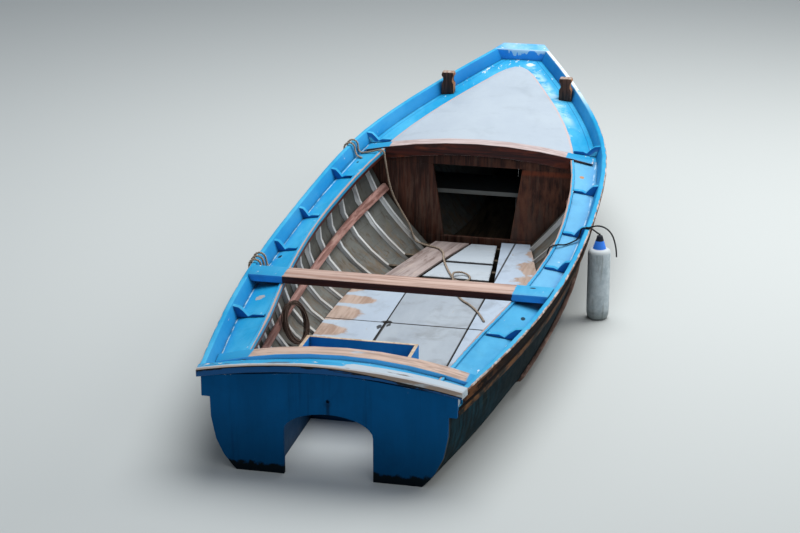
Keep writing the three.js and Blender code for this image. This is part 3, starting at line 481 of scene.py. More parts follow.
# Painted shade that darkens corners and creases, found by ambient occlusion, and dirt in faint clouds
def makeGrimeAndShade():
    group, start, end = newGroup("grime", [
        ("Vector", "Vector", (0, 0, 0)), ("Color", "Color", (0.5, 0.5, 0.5, 1)),
        ("Dirt", "Color", (0.1, 0.08, 0.06, 1)), ("Corners", "Float", 0.5), ("Clouds", "Float", 0.2),
        ("Reach", "Float", 0.05)], [("Color", "Color")])
    # Painted shade: ambient occlusion darkens corners and creases with the dirt colour
    shut = group.nodes.new("ShaderNodeAmbientOcclusion")
    shut.samples = 4
    put(group, start["Reach"], shut.inputs["Distance"])
    corner = calc(group, "SUBTRACT", 1.0, shut.outputs["AO"])
    patchy = noiseAt(group, start["Vector"], 9.0, detail=5.0, roughness=0.65)
    corner = times(group, corner, calc(group, "MULTIPLY_ADD", patchy, 1.4, 0.3))
    corner = times(group, ramp(group, corner, 0.12, 0.85), start["Corners"])
    cloud = noiseAt(group, start["Vector"], 4.3, detail=6.0, roughness=0.62, distortion=0.4)
    cloud = times(group, ramp(group, cloud, 0.5, 0.72), start["Clouds"])
    mask = calc(group, "ADD", corner, cloud, clamp=True)
    put(group, blendTones(group, mask, start["Color"], start["Dirt"]), end["Color"])
    return group


# A band of a value with soft edges
def makeBand():
    group, start, end = newGroup("softBand", [
        ("Value", "Float", 0.0), ("Low", "Float", 0.0), ("High", "Float", 1.0), ("Soft", "Float", 0.01)],
        [("Mask", "Float")])
    steps = []
    for edge in ("Low", "High"):
        steps.append(ramp(group, start["Value"], calc(group, "SUBTRACT", start[edge], start["Soft"]),
                          calc(group, "ADD", start[edge], start["Soft"])))
    put(group, calc(group, "SUBTRACT", steps[0], steps[1], clamp=True), end["Mask"])
    return group


# A patch round a point, with a ragged edge
def makePatch():
    group, start, end = newGroup("raggedPatch", [
        ("Vector", "Vector", (0, 0, 0)), ("Centre", "Vector", (0, 0, 0)), ("Size", "Vector", (1, 1, 1)),
        ("Rag", "Float", 0.6), ("Scale", "Float", 14.0)], [("Mask", "Float")])
    away = vectorCalc(group, "SUBTRACT", start["Vector"], start["Centre"])
    far = vectorCalc(group, "LENGTH", vectorCalc(group, "DIVIDE", away, start["Size"]))
    rough = noiseAt(group, start["Vector"], start["Scale"], detail=6.0, roughness=0.66)
    rough = times(group, calc(group, "SUBTRACT", rough, 0.5), start["Rag"])
    far = calc(group, "MULTIPLY_ADD", rough, 2.6, far)
    put(group, ramp(group, far, 1.05, 0.85), end["Mask"])
    return group


lengthCurve = makeLengthCurve()
woodGrain = makeWoodGrain()
edgeRub = makeEdgeRub()
wornPaint = makeWornPaint()
grime = makeGrimeAndShade()
softBand = makeBand()
raggedPatch = makePatch()
print("shader groups made")


# The places along the boat where a solid has points, each with the most or the least of a measure
def lineOf(nodeName, measure, pick):
    found = {}
    for vertex in nodes[nodeName].data.vertices:
        y = round(vertex.co.y, 4)
        found[y] = pick(found.get(y, measure(vertex.co)), measure(vertex.co))
    return sorted(found.items())


# The outer line through points of length and half width, seen from above, without its hollows
def outerLine(points):
    line = []
    for y, x in points:
        while len(line) > 1 and ((line[-1][0] - line[-2][0]) * (x - line[-2][1])
                                 >= (line[-1][1] - line[-2][1]) * (y - line[-2][0])):
            line.pop()
        line.append((y, x))
    return line


railOuter = outerLine(lineOf("rail_port", lambda place: abs(place.x), max))


# A smooth line through points of length and value, as factors of 1, y, y2, y3 and y4
def smoothFactors(points):
    ys, values = zip(*points)
    return polyfit(ys, values, 4).tolist()


def findHullLines():
    stations = dict(railOuter)
    railTop = [row for row in lineOf("rail_port", lambda place: place.z, max) if row[0] in stations]
    # The coaming's aft end is cut to the transom and doesn't count
    coamingTop = lineOf("carlin_port", lambda place: place.z, max)[1:]
    cockpitHalf = lineOf("carlin_port", lambda place: abs(place.x), min)[1:]
    return {"railTop": smoothFactors(railTop), "coamingTop": smoothFactors(coamingTop),
            "cockpitHalf": smoothFactors(cockpitHalf)}


hullLines = findHullLines()
print("hull lines found at", len(railOuter), "places")


class Finish:
    # One material under work: its tree, its place on the boat, its running colour and its height
    def __init__(self, name):
        self.material = bpy.data.materials.new(name)
        self.material.use_nodes = True
        self.tree = self.material.node_tree
        self.shader = self.tree.nodes["Principled BSDF"]
        self.place = self.tree.nodes.new("ShaderNodeTexCoord").outputs["Object"]
        self.x, self.y, self.z = splitVector(self.tree, self.place)
        self.away = calc(self.tree, "ABSOLUTE", self.x)
        self.colour = None
        self.height = None

    def ramp(self, value, zeroAt, fullAt):
        return ramp(self.tree, value, zeroAt, fullAt)

    def times(self, *values):
        return times(self.tree, *values)

    def plus(self, value, more):
        return calc(self.tree, "ADD", value, more)

    def minus(self, value, less):
        return calc(self.tree, "SUBTRACT", value, less)

    def scaled(self, value, factor, start):
        return calc(self.tree, "MULTIPLY_ADD", value, factor, start)

    def blend(self, amount, first, second):
        return blendTones(self.tree, amount, first, second)

    def noise(self, scale, detail, rough, stretch=None):
        vector = vectorCalc(self.tree, "MULTIPLY", self.place, stretch) if stretch else self.place
        return noiseAt(self.tree, vector, scale, detail, rough)

    def band(self, value, low, high, soft):
        return useGroup(self.tree, softBand, Value=value, Low=low, High=high, Soft=soft)["Mask"]

    def patch(self, centre, size, rag):
        made = useGroup(self.tree, raggedPatch, Vector=self.place, Centre=centre, Size=size, Rag=rag)
        return made["Mask"]

    def rubbed(self, radius, amount):
        return useGroup(self.tree, edgeRub, Vector=self.place, Radius=radius, Amount=amount)["Mask"]

    def facing(self, axis, zeroAt, fullAt):
        # A mask of the faces that look along an axis, from the normal before the bump
        geometry = self.tree.nodes.new("ShaderNodeNewGeometry")
        return self.ramp(splitVector(self.tree, geometry.outputs["Normal"])[axis], zeroAt, fullAt)

    def facingAft(self):
        return self.facing("Y", -0.4, -0.7)

    def fromRail(self):
        # How far inboard of the rail's outer edge, as markFromRail wrote it
        node = self.tree.nodes.new("ShaderNodeAttribute")
        node.attribute_name = "fromRail"
        return node.outputs["Fac"]

    def hullLine(self, name):
        factors = {f"c{i}": factor for i, factor in enumerate(hullLines[name])}
        return useGroup(self.tree, lengthCurve, Along=self.y, **factors)["Value"]

    def below(self, name):
        return self.minus(self.hullLine(name), self.z)

    def grain(self, light, dark, run=(1, 0.06, 1), scale=60.0, contrast=0.5):
        return useGroup(self.tree, woodGrain, Vector=self.place, Run=run, Scale=scale, Light=tone(light),
                        Dark=tone(dark), Contrast=contrast)

    def worn(self, colours, run=(1, 0.35, 1), fade=0.5, chips=0.2, extra=0.0):
        return useGroup(self.tree, wornPaint, Vector=self.place, Run=run, Paint=tone(colours["paint"]),
                        Faded=tone(colours["faded"]), Primer=tone(colours["primer"]),
                        Wood=tone(colours["wood"]), Fade=fade, Chips=chips, Extra=extra)

    def begin(self, made):
        # The first coat, of grain or of worn paint
        self.colour = made["Color"]
        self.height = made["Height"]

    def over(self, mask, colour, strength=None):
        amount = mask if strength is None else self.times(mask, strength)
        self.colour = self.blend(amount, self.colour, colour)

    def stains(self, noise, rows):
        # Each row: noise where the stain starts, noise where it is full, strength, colour
        for zeroAt, fullAt, strength, colour in rows:
            self.over(self.ramp(noise, zeroAt, fullAt), colour, strength)

    def patches(self, rows):
        # Each row: centre, size, colour, strength, raggedness
        for centre, size, colour, strength, rag in rows:
            self.over(self.patch(centre, size, rag), colour, strength)

    def dirtyAndShaded(self, dirt, corners, clouds, reach):
        # Painted shade in corners and creases, by ambient occlusion, and dirt in clouds, both in the one
        # colour
        made = useGroup(self.tree, grime, Vector=self.place, Color=self.colour, Dirt=tone(dirt),
                        Corners=corners, Clouds=clouds, Reach=reach)
        self.colour = made["Color"]

    def done(self, roughness, spread, bump, depth, specular, matt=None):
        # Roughness varies by the spread and is full where the matt mask is
        put(self.tree, self.colour, self.shader.inputs["Base Color"])
        mottle = self.minus(self.noise(scale=17.0, detail=4.0, rough=0.6), 0.5)
        uneven = self.scaled(mottle, spread * 2, roughness)
        if matt is not None:
            uneven = calc(self.tree, "MAXIMUM", uneven, matt)
        put(self.tree, uneven, self.shader.inputs["Roughness"])
        self.shader.inputs["Specular IOR Level"].default_value = specular
        node = self.tree.nodes.new("ShaderNodeBump")
        node.inputs["Strength"].default_value = bump
        node.inputs["Distance"].default_value = depth
        put(self.tree, self.height, node.inputs["Height"])
        put(self.tree, node.outputs[0], self.shader.inputs["Normal"])
        return self.material


blues = {"paint": "#1b98cb", "faded": "#54b9e1", "primer": "#e3ecf2", "wood": "#a78f80"}
# Near-black painted shadow under the rails' caps
shadowUnderRail = "#17100c"
chipHole = {"size": (0.014, 0.028, 0.04), "colour": "#0b0e12", "rag": 0.15}


def paintShadeUnderRail(finish, fromRail):
    # Below the rails' outer edge the decks are painted near-black, as a painted shadow under the rails
    railShadow = finish.ramp(fromRail, 0.033, 0.028)
    finish.over(railShadow, shadowUnderRail)
    return railShadow


# Rails: sky blue, rubbed to pink-brown wood along the outer edge, white at the starboard bow, with painted
# shade under the cap outboard and on the faces inboard
def railFinish():
    look = {"rub": "#d3c4ba", "rubDeep": "#8d6a58", "rubWidth": 0.007, "white": "#eef3f5",
            "whiteFrom": 1.9, "whiteWidth": 0.035, "shadowAndBareFrom": 0.005, "rust": "#6b452a",
            "side": "#1c7cc4", "aft": "#0f5ba6", "dirt": "#173a5c"}
    finish = Finish("railPaint")
    extra = finish.times(finish.rubbed(0.006, 0.55), 0.35)
    finish.begin(finish.worn(blues, fade=0.75, chips=0.12, extra=extra))
    fromRail = finish.fromRail()
    rough = finish.noise(scale=19.0, detail=5.0, rough=0.65, stretch=(1, 0.5, 1))
    width = finish.times(finish.ramp(rough, 0.3, 0.62), look["rubWidth"])
    outer = finish.ramp(fromRail, finish.plus(width, 0.0025), width)
    finish.over(outer, finish.blend(finish.ramp(rough, 0.45, 0.6), look["rubDeep"], look["rub"]))
    bow = finish.ramp(finish.y, look["whiteFrom"], look["whiteFrom"] + 0.7)
    starboard = finish.ramp(finish.x, 0.0, 0.1)
    nearEdge = finish.ramp(fromRail, look["whiteWidth"] + 0.005, look["whiteWidth"] - 0.005)
    finish.over(finish.times(bow, starboard, finish.ramp(rough, 0.30, 0.42), nearEdge), look["white"])
    # Outboard below the cap's upper edge the blue is gone: near-black there as a painted shadow under the
    # cap, rusty brown towards the stern
    ragged = finish.scaled(rough, 0.012, look["shadowAndBareFrom"])
    bare = finish.ramp(finish.below("railTop"), ragged, finish.plus(ragged, 0.002))
    bare = finish.times(bare, finish.ramp(fromRail, 0.031, 0.029))
    sternward = finish.times(finish.ramp(finish.y, -2.3, -3.1), finish.ramp(rough, 0.40, 0.55))
    finish.over(bare, finish.blend(sternward, shadowUnderRail, look["rust"]))
    # Painted shade: inboard the cap's steep side is painted darker, more so towards the bow, and the
    # knees' faces that look astern darker still
    inboard = finish.ramp(fromRail, 0.033, 0.037)
    strength = finish.scaled(bow, 0.3, 0.5)
    finish.over(finish.times(finish.facing("Z", 0.8, 0.5), inboard), look["side"], strength)
    finish.over(finish.times(finish.facingAft(), inboard), look["aft"], strength=0.85)
    finish.dirtyAndShaded(look["dirt"], corners=0.75, clouds=0.08, reach=0.04)
    return finish.done(roughness=0.46, spread=0.14, bump=0.4, depth=0.0012, specular=0.12, matt=bare)


# Side decks and stern deck: a shaded trough inside the rails, with a pale line in its corner
def sideDeckFinish():
    look = {"shade": "#2492d6", "line": "#bfe2f6", "trough": (0.070, 0.095), "lineTo": 0.0785,
            "dirt": "#14324e", "spot": "#c98a4e", "worn": "#bfae9d", "pale": "#c9e6fb",
            "palePort": "#a9d8fa"}
    finish = Finish("sideDeckPaint")
    finish.begin(finish.worn(blues, fade=0.7, chips=0.16))
    fromRail = finish.fromRail()
    troughFrom, troughTo = look["trough"]
    finish.over(finish.band(fromRail, troughFrom, troughTo, 0.02), look["shade"], strength=0.6)
    broken = finish.noise(scale=24.0, detail=4.0, rough=0.6, stretch=(1, 0.4, 1))
    corner = finish.band(fromRail, troughFrom, look["lineTo"], 0.0015)
    finish.over(finish.times(corner, finish.ramp(broken, 0.38, 0.54)), look["line"])
    # Painted reflection: the starboard side deck is lightened with the pale line's colour, more so forward
    pale = finish.scaled(finish.ramp(finish.y, -1.5, -1.0), 0.18, 0.08)
    finish.over(finish.ramp(finish.x, 0.0, 0.1), look["line"], strength=pale)
    # Painted shadow: near-black under the rails' outer edge
    railShadow = paintShadeUnderRail(finish, fromRail)
    hole = chipHole["size"], chipHole["colour"]
    finish.patches([
        ((0.826, 0.915, 0.75), (0.018, 0.024, 0.05), look["spot"], 0.9, 0.3),
        ((-0.83, -1.72, 0.63), (0.030, 0.045, 0.06), look["worn"], 0.75, 0.9),
        ((-0.994, -0.183, 0.66), *hole, 0.95, chipHole["rag"]),
        ((-0.984, -0.831, 0.64), *hole, 0.95, chipHole["rag"]),
        ((-0.927, -0.923, 0.64), *hole, 0.9, chipHole["rag"]),
        ((-0.860, 0.952, 0.72), *hole, 0.95, chipHole["rag"]),
        ((0.849, -1.707, 0.63), *hole, 0.9, chipHole["rag"]),
        ((0.70, -0.40, 0.65), (0.09, 0.30, 0.06), look["pale"], 0.4, 0.9),
        ((-0.80, -0.30, 0.65), (0.06, 0.50, 0.06), look["palePort"], 0.35, 0.9),
    ])
    finish.dirtyAndShaded(look["dirt"], corners=0.8, clouds=0.10, reach=0.06)
    return finish.done(roughness=0.5, spread=0.14, bump=0.4, depth=0.0012, specular=0.12, matt=railShadow)


# Coamings: blue over the deck, a rubbed inner edge and dark red-brown wood under it
def coamingFinish():
    look = {"rub": "#b59a90", "wood": "#6b3226", "woodDark": "#4a1d16", "paintDeep": 0.028,
            "dirt": "#1a2430"}
    finish = Finish("coamingPaint")
    extra = finish.times(finish.rubbed(0.006, 0.6), 0.4)
    finish.begin(finish.worn(blues, fade=0.7, chips=0.14, extra=extra))
    below = finish.below("coamingTop")
    inner = finish.minus(finish.away, finish.hullLine("cockpitHalf"))
    lip = finish.scaled(finish.noise(scale=24.0, detail=5.0, rough=0.65), 0.020, -0.002)
    rub = finish.times(finish.ramp(inner, finish.plus(lip, 0.003), lip), finish.ramp(below, 0.006, 0.003))
    finish.over(rub, look["rub"])
    down = finish.ramp(below, look["paintDeep"], look["paintDeep"] + 0.004)
    grain = finish.grain(look["wood"], look["woodDark"], scale=50.0)["Color"]
    finish.over(finish.times(down, finish.ramp(inner, 0.012, 0.006)), grain)
    finish.dirtyAndShaded(look["dirt"], corners=0.6, clouds=0.06, reach=0.05)
    return finish.done(roughness=0.5, spread=0.12, bump=0.4, depth=0.0012, specular=0.3)


# Foredeck: blue border with a covering board, worn to white towards the bow
def foredeckFinish():
    look = {"seam": "#1a5f9e", "seamAt": 0.112, "seamHalf": 0.0025, "white": "#b9def4",
            "paleBand": (0.165, 0.25), "bright": "#e6f0f6", "dirt": "#1a3c5c"}
    finish = Finish("foredeckPaint")
    forward = finish.ramp(finish.y, 1.9, 3.0)
    finish.begin(finish.worn(blues, fade=0.85, chips=0.15, extra=finish.times(forward, 0.16)))
    fromRail = finish.fromRail()
    seamFrom, seamTo = look["seamAt"] - look["seamHalf"], look["seamAt"] + look["seamHalf"]
    finish.over(finish.band(fromRail, seamFrom, seamTo, 0.0015), look["seam"], strength=0.8)
    # Beside the panel the starboard paint has gone pale
    paleFrom, paleTo = look["paleBand"]
    blotchy = finish.noise(scale=11.0, detail=6.0, rough=0.66)
    pale = finish.times(finish.band(fromRail, paleFrom, paleTo, 0.03),
                        finish.band(finish.y, 1.9, 2.95, 0.12),
                        finish.ramp(blotchy, 0.36, 0.56), finish.ramp(finish.x, 0.0, 0.05))
    finish.over(pale, look["white"], strength=0.75)
    finish.patches([
        ((0.085, 3.000, 1.04), (0.030, 0.035, 0.1), look["bright"], 0.9, 0.5),
        ((0.60, 1.62, 0.9), (0.04, 0.12, 0.1), look["white"], 0.4, 1.0),
    ])
    # Painted shadow: near-black under the rails' outer edge
    railShadow = paintShadeUnderRail(finish, fromRail)
    finish.dirtyAndShaded(look["dirt"], corners=0.75, clouds=0.07, reach=0.05)
    return finish.done(roughness=0.46, spread=0.14, bump=0.4, depth=0.0012, specular=0.12, matt=railShadow)


# The pale panel on the foredeck, with a bare line round its edge
def foredeckPanelFinish():
    look = {"paint": "#b0bbc5", "faded": "#bac5cd", "primer": "#c6bfae", "wood": "#a5907c",
            "line": "#cbb8b4", "margin": 0.245, "side": "#7fa6c8", "dirt": "#6b7780"}
    finish = Finish("foredeckPanelPaint")
    finish.begin(finish.worn(look, run=(1, 0.7, 1), fade=0.5, chips=0.0))
    fromEdge = finish.minus(finish.fromRail(), look["margin"])
    width = finish.scaled(finish.noise(scale=15.0, detail=5.0, rough=0.6), 0.016, 0.009)
    line = finish.ramp(fromEdge, finish.plus(width, 0.004), width)
    line = calc(finish.tree, "MAXIMUM", line, finish.rubbed(0.012, 1.0))
    finish.over(line, look["line"], strength=0.85)
    finish.over(finish.facing("Z", 0.6, 0.3), look["side"])
    finish.dirtyAndShaded(look["dirt"], corners=0.5, clouds=0.16, reach=0.05)
    return finish.done(roughness=0.55, spread=0.16, bump=0.3, depth=0.001, specular=0.3)


# The block at the very bow: blue, its aft face a deeper blue as painted shade, with pale paint that hangs
# over its aft edge in jagged teeth
def bowBlockFinish():
    look = {"paint": "#45a9e6", "faded": "#a6d6f2", "primer": "#e6eef2", "wood": "#9c8878",
            "aft": "#239af2", "teeth": "#bfe4fa", "toothDeep": 0.050, "dirt": "#1d3a52"}
    finish = Finish("bowBlockPaint")
    extra = finish.times(finish.rubbed(0.012, 0.8), 0.5)
    finish.begin(finish.worn(look, run=(1, 1, 1), fade=0.9, chips=0.36, extra=extra))
    # Painted shade: the face that looks astern is a deeper blue
    aft = finish.facingAft()
    finish.over(aft, look["aft"], strength=0.92)
    jag = finish.noise(scale=17.0, detail=3.0, rough=0.6, stretch=(1, 0.2, 0.2))
    jag = finish.scaled(finish.ramp(jag, 0.42, 0.64), look["toothDeep"], 0.006)
    teeth = finish.ramp(finish.below("railTop"), finish.plus(jag, 0.004), jag)
    finish.over(finish.times(aft, teeth), look["teeth"], strength=0.95)
    finish.dirtyAndShaded(look["dirt"], corners=0.6, clouds=0.12, reach=0.05)
    return finish.done(roughness=0.55, spread=0.14, bump=0.6, depth=0.002, specular=0.4)


# The beam under the foredeck's aft edge: a pale rubbed top, dark red-brown face, blue ends
def foredeckBeamFinish():
    look = {"top": "#cfc1bf", "topDark": "#ac9691", "face": "#5a2419", "faceDark": "#2c120d",
            "ember": "#9c4a28", "edge": "#d8c8bf", "blueFrom": 0.665, "dirt": "#120806"}
    finish = Finish("foredeckBeamWood")
    finish.begin(finish.grain(look["face"], look["faceDark"], run=(0.06, 1, 1), scale=48.0, contrast=0.4))
    warm = finish.noise(scale=11.0, detail=5.0, rough=0.6, stretch=(0.3, 1, 1))
    finish.over(finish.ramp(warm, 0.52, 0.72), look["ember"], strength=0.6)
    up = finish.facing("Z", 0.35, 0.7)
    finish.over(up, finish.grain(look["top"], look["topDark"], run=(0.06, 1, 1), scale=55.0)["Color"])
    blue = finish.ramp(finish.away, look["blueFrom"], look["blueFrom"] + 0.006)
    finish.over(finish.times(blue, up), blues["paint"])
    finish.over(finish.rubbed(0.008, 0.6), look["edge"], strength=0.8)
    finish.dirtyAndShaded(look["dirt"], corners=0.6, clouds=0.1, reach=0.06)
    return finish.done(roughness=0.5, spread=0.15, bump=0.5, depth=0.0012, specular=0.4)


# Bulkhead boards round the cuddy's door: dark red-brown, weathered grey down the grain
def bulkheadFinish():
    look = {"light": "#5a3324", "dark": "#311912", "grey": "#745c4e", "warm": "#80503a",
            "ember": "#9a4624", "edge": "#9a8272", "dirt": "#100705"}
    finish = Finish("bulkheadWood")
    finish.begin(finish.grain(look["light"], look["dark"], run=(1, 1, 0.05), scale=70.0, contrast=0.35))
    streak = finish.noise(scale=34.0, detail=5.0, rough=0.7, stretch=(1, 1, 0.09))
    worn = finish.scaled(finish.ramp(finish.z, 0.72, 0.25), 0.10, streak)
    finish.over(finish.ramp(worn, 0.52, 0.68), look["grey"], strength=0.4)
    starboard = finish.ramp(finish.x, 0.0, 0.3)
    knots = finish.noise(scale=15.0, detail=5.0, rough=0.66, stretch=(1, 1, 0.35))
    finish.over(finish.times(starboard, finish.ramp(knots, 0.42, 0.62)), look["warm"], strength=0.6)
    high = finish.times(finish.band(finish.z, 0.655, 0.69, 0.012), starboard, 0.55)
    finish.over(finish.times(high, finish.ramp(knots, 0.34, 0.50)), look["ember"])
    finish.over(finish.rubbed(0.005, 0.5), look["edge"], strength=0.6)
    finish.dirtyAndShaded(look["dirt"], corners=0.75, clouds=0.15, reach=0.08)
    return finish.done(roughness=0.62, spread=0.15, bump=0.6, depth=0.0014, specular=0.3)


# Thwart: pale pinkish top with light lines, dark red-brown faces darkened further as painted shade, blue
# where it crosses the side decks, lighter on the ends' aft faces as painted light
def thwartFinish():
    look = {"top": "#cdb2a4", "topDark": "#9c7767", "face": "#4a2119", "faceDark": "#2a120e",
            "line": "#e0d3ca", "edge": "#d9c6b9", "blueFrom": 0.757, "blueAft": "#3ba4f4",
            "hole": ((0.853, -1.377, 0.70), (0.020, 0.012, 0.05)), "dirt": "#1c0f0a"}
    finish = Finish("thwartWood")
    # The faces: dark red-brown wood, darker still as painted shade; the top is laid over them
    finish.begin(finish.grain(look["face"], look["faceDark"], run=(0.05, 1, 1), scale=50.0, contrast=0.4))
    up = finish.facing("Z", 0.35, 0.7)
    top = finish.grain(look["top"], look["topDark"], run=(0.035, 1, 1), scale=46.0, contrast=0.45)
    finish.over(up, top["Color"])
    streak = finish.noise(scale=24.0, detail=4.0, rough=0.6, stretch=(0.05, 1, 1))
    finish.over(finish.times(finish.ramp(streak, 0.55, 0.7), up), look["line"], strength=0.5)
    ragged = finish.scaled(streak, 0.03, finish.away)
    ends = finish.ramp(ragged, look["blueFrom"], look["blueFrom"] + 0.006)
    finish.over(ends, finish.worn({**blues, "wood": look["topDark"]}, fade=0.7, chips=0.2)["Color"])
    finish.over(finish.rubbed(0.006, 0.55), look["edge"], strength=0.55)
    # Painted light: the blue ends' faces that look astern are a lighter blue
    finish.over(finish.times(ends, finish.facingAft()), look["blueAft"], strength=0.85)
    finish.patches([(*look["hole"], chipHole["colour"], 0.95, 0.1)])
    finish.dirtyAndShaded(look["dirt"], corners=0.6, clouds=0.12, reach=0.05)
    return finish.done(roughness=0.55, spread=0.15, bump=0.5, depth=0.0012, specular=0.35)


# Beam before the stern deck: bare top, blue ends and aft face, the aft face in a much lighter blue as
# painted light, with small holes
def sternBeamFinish():
    look = {"light": "#cbb09f", "dark": "#a4897a", "edge": "#e6d8cb", "oldPaint": "#a7cfe8",
            "shadowAndBareFrom": -0.56, "bareTo": 0.72, "aft": "#62c8ff", "hole": "#0a0d12", "dirt": "#2a1c14"}
    finish = Finish("sternBeamWood")
    finish.begin(finish.grain(look["light"], look["dark"], run=(0.05, 1, 1), scale=44.0, contrast=0.4))
    finish.over(finish.rubbed(0.006, 0.6), look["edge"], strength=0.7)
    patchy = finish.noise(scale=13.0, detail=6.0, rough=0.65, stretch=(0.3, 1, 1))
    finish.over(finish.ramp(patchy, 0.58, 0.68), look["oldPaint"], strength=0.4)
    bare = finish.band(finish.x, look["shadowAndBareFrom"], look["bareTo"], 0.006)
    finish.over(finish.minus(1.0, bare), blues["paint"])
    # Painted light: the face that looks astern is a much lighter blue than the paint elsewhere
    finish.over(finish.facingAft(), look["aft"], strength=0.97)
    finish.patches([
        ((-0.33, -2.87, 0.675), (0.030, 0.04, 0.016), look["hole"], 0.9, 0.3),
        ((-0.17, -2.87, 0.680), (0.022, 0.04, 0.014), look["hole"], 0.9, 0.3),
        ((0.30, -2.87, 0.672), (0.034, 0.04, 0.016), look["hole"], 0.9, 0.3),
    ])
    finish.dirtyAndShaded(look["dirt"], corners=0.2, clouds=0.10, reach=0.02)
    return finish.done(roughness=0.58, spread=0.14, bump=0.5, depth=0.0012, specular=0.35)


# The cap on the transom: worn white and tan on top, ragged over the transom's blue astern
def transomCapFinish():
    look = {"white": "#bcc5cb", "tan": "#a69283", "worn": "#5d4d42", "dark": "#0c1116", "deep": "#05508a",
            "primer": "#e9e6df", "wood": "#b79a80", "middle": 0.815, "camber": 0.14,
            "whiteFrom": -3.170, "foreEdge": -3.118, "aftEdge": -3.188, "dirt": "#1d2730"}
    finish = Finish("transomCapPaint")
    colours = {**blues, "primer": look["primer"], "wood": look["wood"]}
    finish.begin(finish.worn(colours, run=(0.4, 1, 1), fade=0.7, chips=0.3))
    streak = finish.noise(scale=22.0, detail=6.0, rough=0.7, stretch=(0.12, 1, 1))
    wavy = finish.scaled(streak, 0.05, -0.025)
    across = finish.plus(finish.y, wavy)
    # The top: whiter aft of its middle at port, white right across at starboard
    starboard = finish.ramp(finish.plus(finish.x, finish.times(wavy, 6.0)), 0.04, 0.16)
    whiteFrom = finish.scaled(starboard, 0.085, look["whiteFrom"])
    white = finish.ramp(across, finish.plus(whiteFrom, 0.006), whiteFrom)
    finish.over(white, look["white"], strength=0.92)
    aftEdge = finish.ramp(across, look["aftEdge"] + 0.006, look["aftEdge"])
    finish.over(aftEdge, look["tan"], strength=finish.scaled(starboard, -0.6, 0.9))
    foreEdge = finish.ramp(across, look["foreEdge"], look["foreEdge"] + 0.004)
    finish.over(finish.times(starboard, foreEdge), look["tan"])
    finish.over(finish.ramp(streak, 0.57, 0.63), look["worn"], strength=0.75)
    # The face astern: worn near the top, a jagged dark line as a painted shadow line, then the transom's
    # blue
    face = finish.facing("Y", -0.5, -0.8)
    top = finish.scaled(finish.times(finish.x, finish.x), -look["camber"], look["middle"])
    below = finish.minus(top, finish.z)
    wornDepth = finish.scaled(finish.ramp(finish.x, -0.1, 0.5), 0.024, 0.004)
    mixed = finish.blend(finish.ramp(streak, 0.46, 0.56), look["tan"], look["white"])
    mixed = finish.blend(finish.ramp(streak, 0.60, 0.66), mixed, look["worn"])
    finish.over(face, mixed)
    lowPart = finish.ramp(below, wornDepth, finish.plus(wornDepth, 0.003))
    finish.over(finish.times(face, lowPart), look["deep"])
    # Painted shadow: a jagged near-black line under the worn band
    lineDepth = finish.scaled(finish.ramp(streak, 0.46, 0.56), 0.010, 0.004)
    belowWorn = finish.minus(below, wornDepth)
    line = finish.times(finish.ramp(belowWorn, -0.002, 0.0),
                        finish.ramp(belowWorn, finish.plus(lineDepth, 0.002), lineDepth))
    finish.over(finish.times(face, line), look["dark"])
    finish.dirtyAndShaded(look["dirt"], corners=0.6, clouds=0.1, reach=0.04)
    return finish.done(roughness=0.55, spread=0.14, bump=0.6, depth=0.0015, specular=0.25)


# Weed with a ragged upper edge, along the waterline
def addWeed(finish, weed):
    line = finish.noise(scale=weed["scale"], detail=6.0, rough=0.7)
    line = finish.scaled(line, weed["rise"], weed["from"])
    mask = finish.ramp(finish.z, finish.plus(line, weed["soft"]), line)
    finish.over(mask, weed["colour"], strength=weed["strength"])


# Transom: deep blue, darker and streaked low down, with a drain hole's drip
def transomFinish():
    look = {"paint": "#034b7d", "faded": "#065c97", "primer": "#cfd8da", "wood": "#8d7a6a",
            "low": "#013556", "streaks": [(0.56, 0.75, 0.35, "#051f3c"), (0.30, 0.18, 0.25, "#2f78b0")],
            "hole": (0.0, -3.2, 0.590), "drip": "#0a1c30", "dirt": "#08121c",
            "weed": {"colour": "#0e110b", "scale": 21.0, "rise": 0.10, "from": 0.135, "soft": 0.018,
                     "strength": 0.95}}
    finish = Finish("transomPaint")
    extra = finish.times(finish.rubbed(0.007, 0.45), 0.4)
    finish.begin(finish.worn(look, run=(1, 1, 0.25), fade=0.55, chips=0.05, extra=extra))
    finish.over(finish.ramp(finish.z, 0.62, 0.20), look["low"], strength=0.55)
    streak = finish.noise(scale=17.0, detail=5.0, rough=0.65, stretch=(1, 1, 0.05))
    finish.stains(streak, look["streaks"])
    addWeed(finish, look["weed"])
    drip = finish.times(finish.band(finish.x, -0.008, 0.010, 0.006),
                        finish.band(finish.z, 0.50, 0.60, 0.03))
    finish.over(drip, look["drip"], strength=0.6)
    fromHole = vectorCalc(finish.tree, "SUBTRACT", finish.place, look["hole"])
    fromHole = vectorCalc(finish.tree, "LENGTH", fromHole)
    finish.over(finish.ramp(fromHole, 0.03, 0.008), look["drip"], strength=0.4)
    finish.dirtyAndShaded(look["dirt"], corners=0.7, clouds=0.10, reach=0.07)
    return finish.done(roughness=0.65, spread=0.16, bump=0.4, depth=0.0014, specular=0.05)


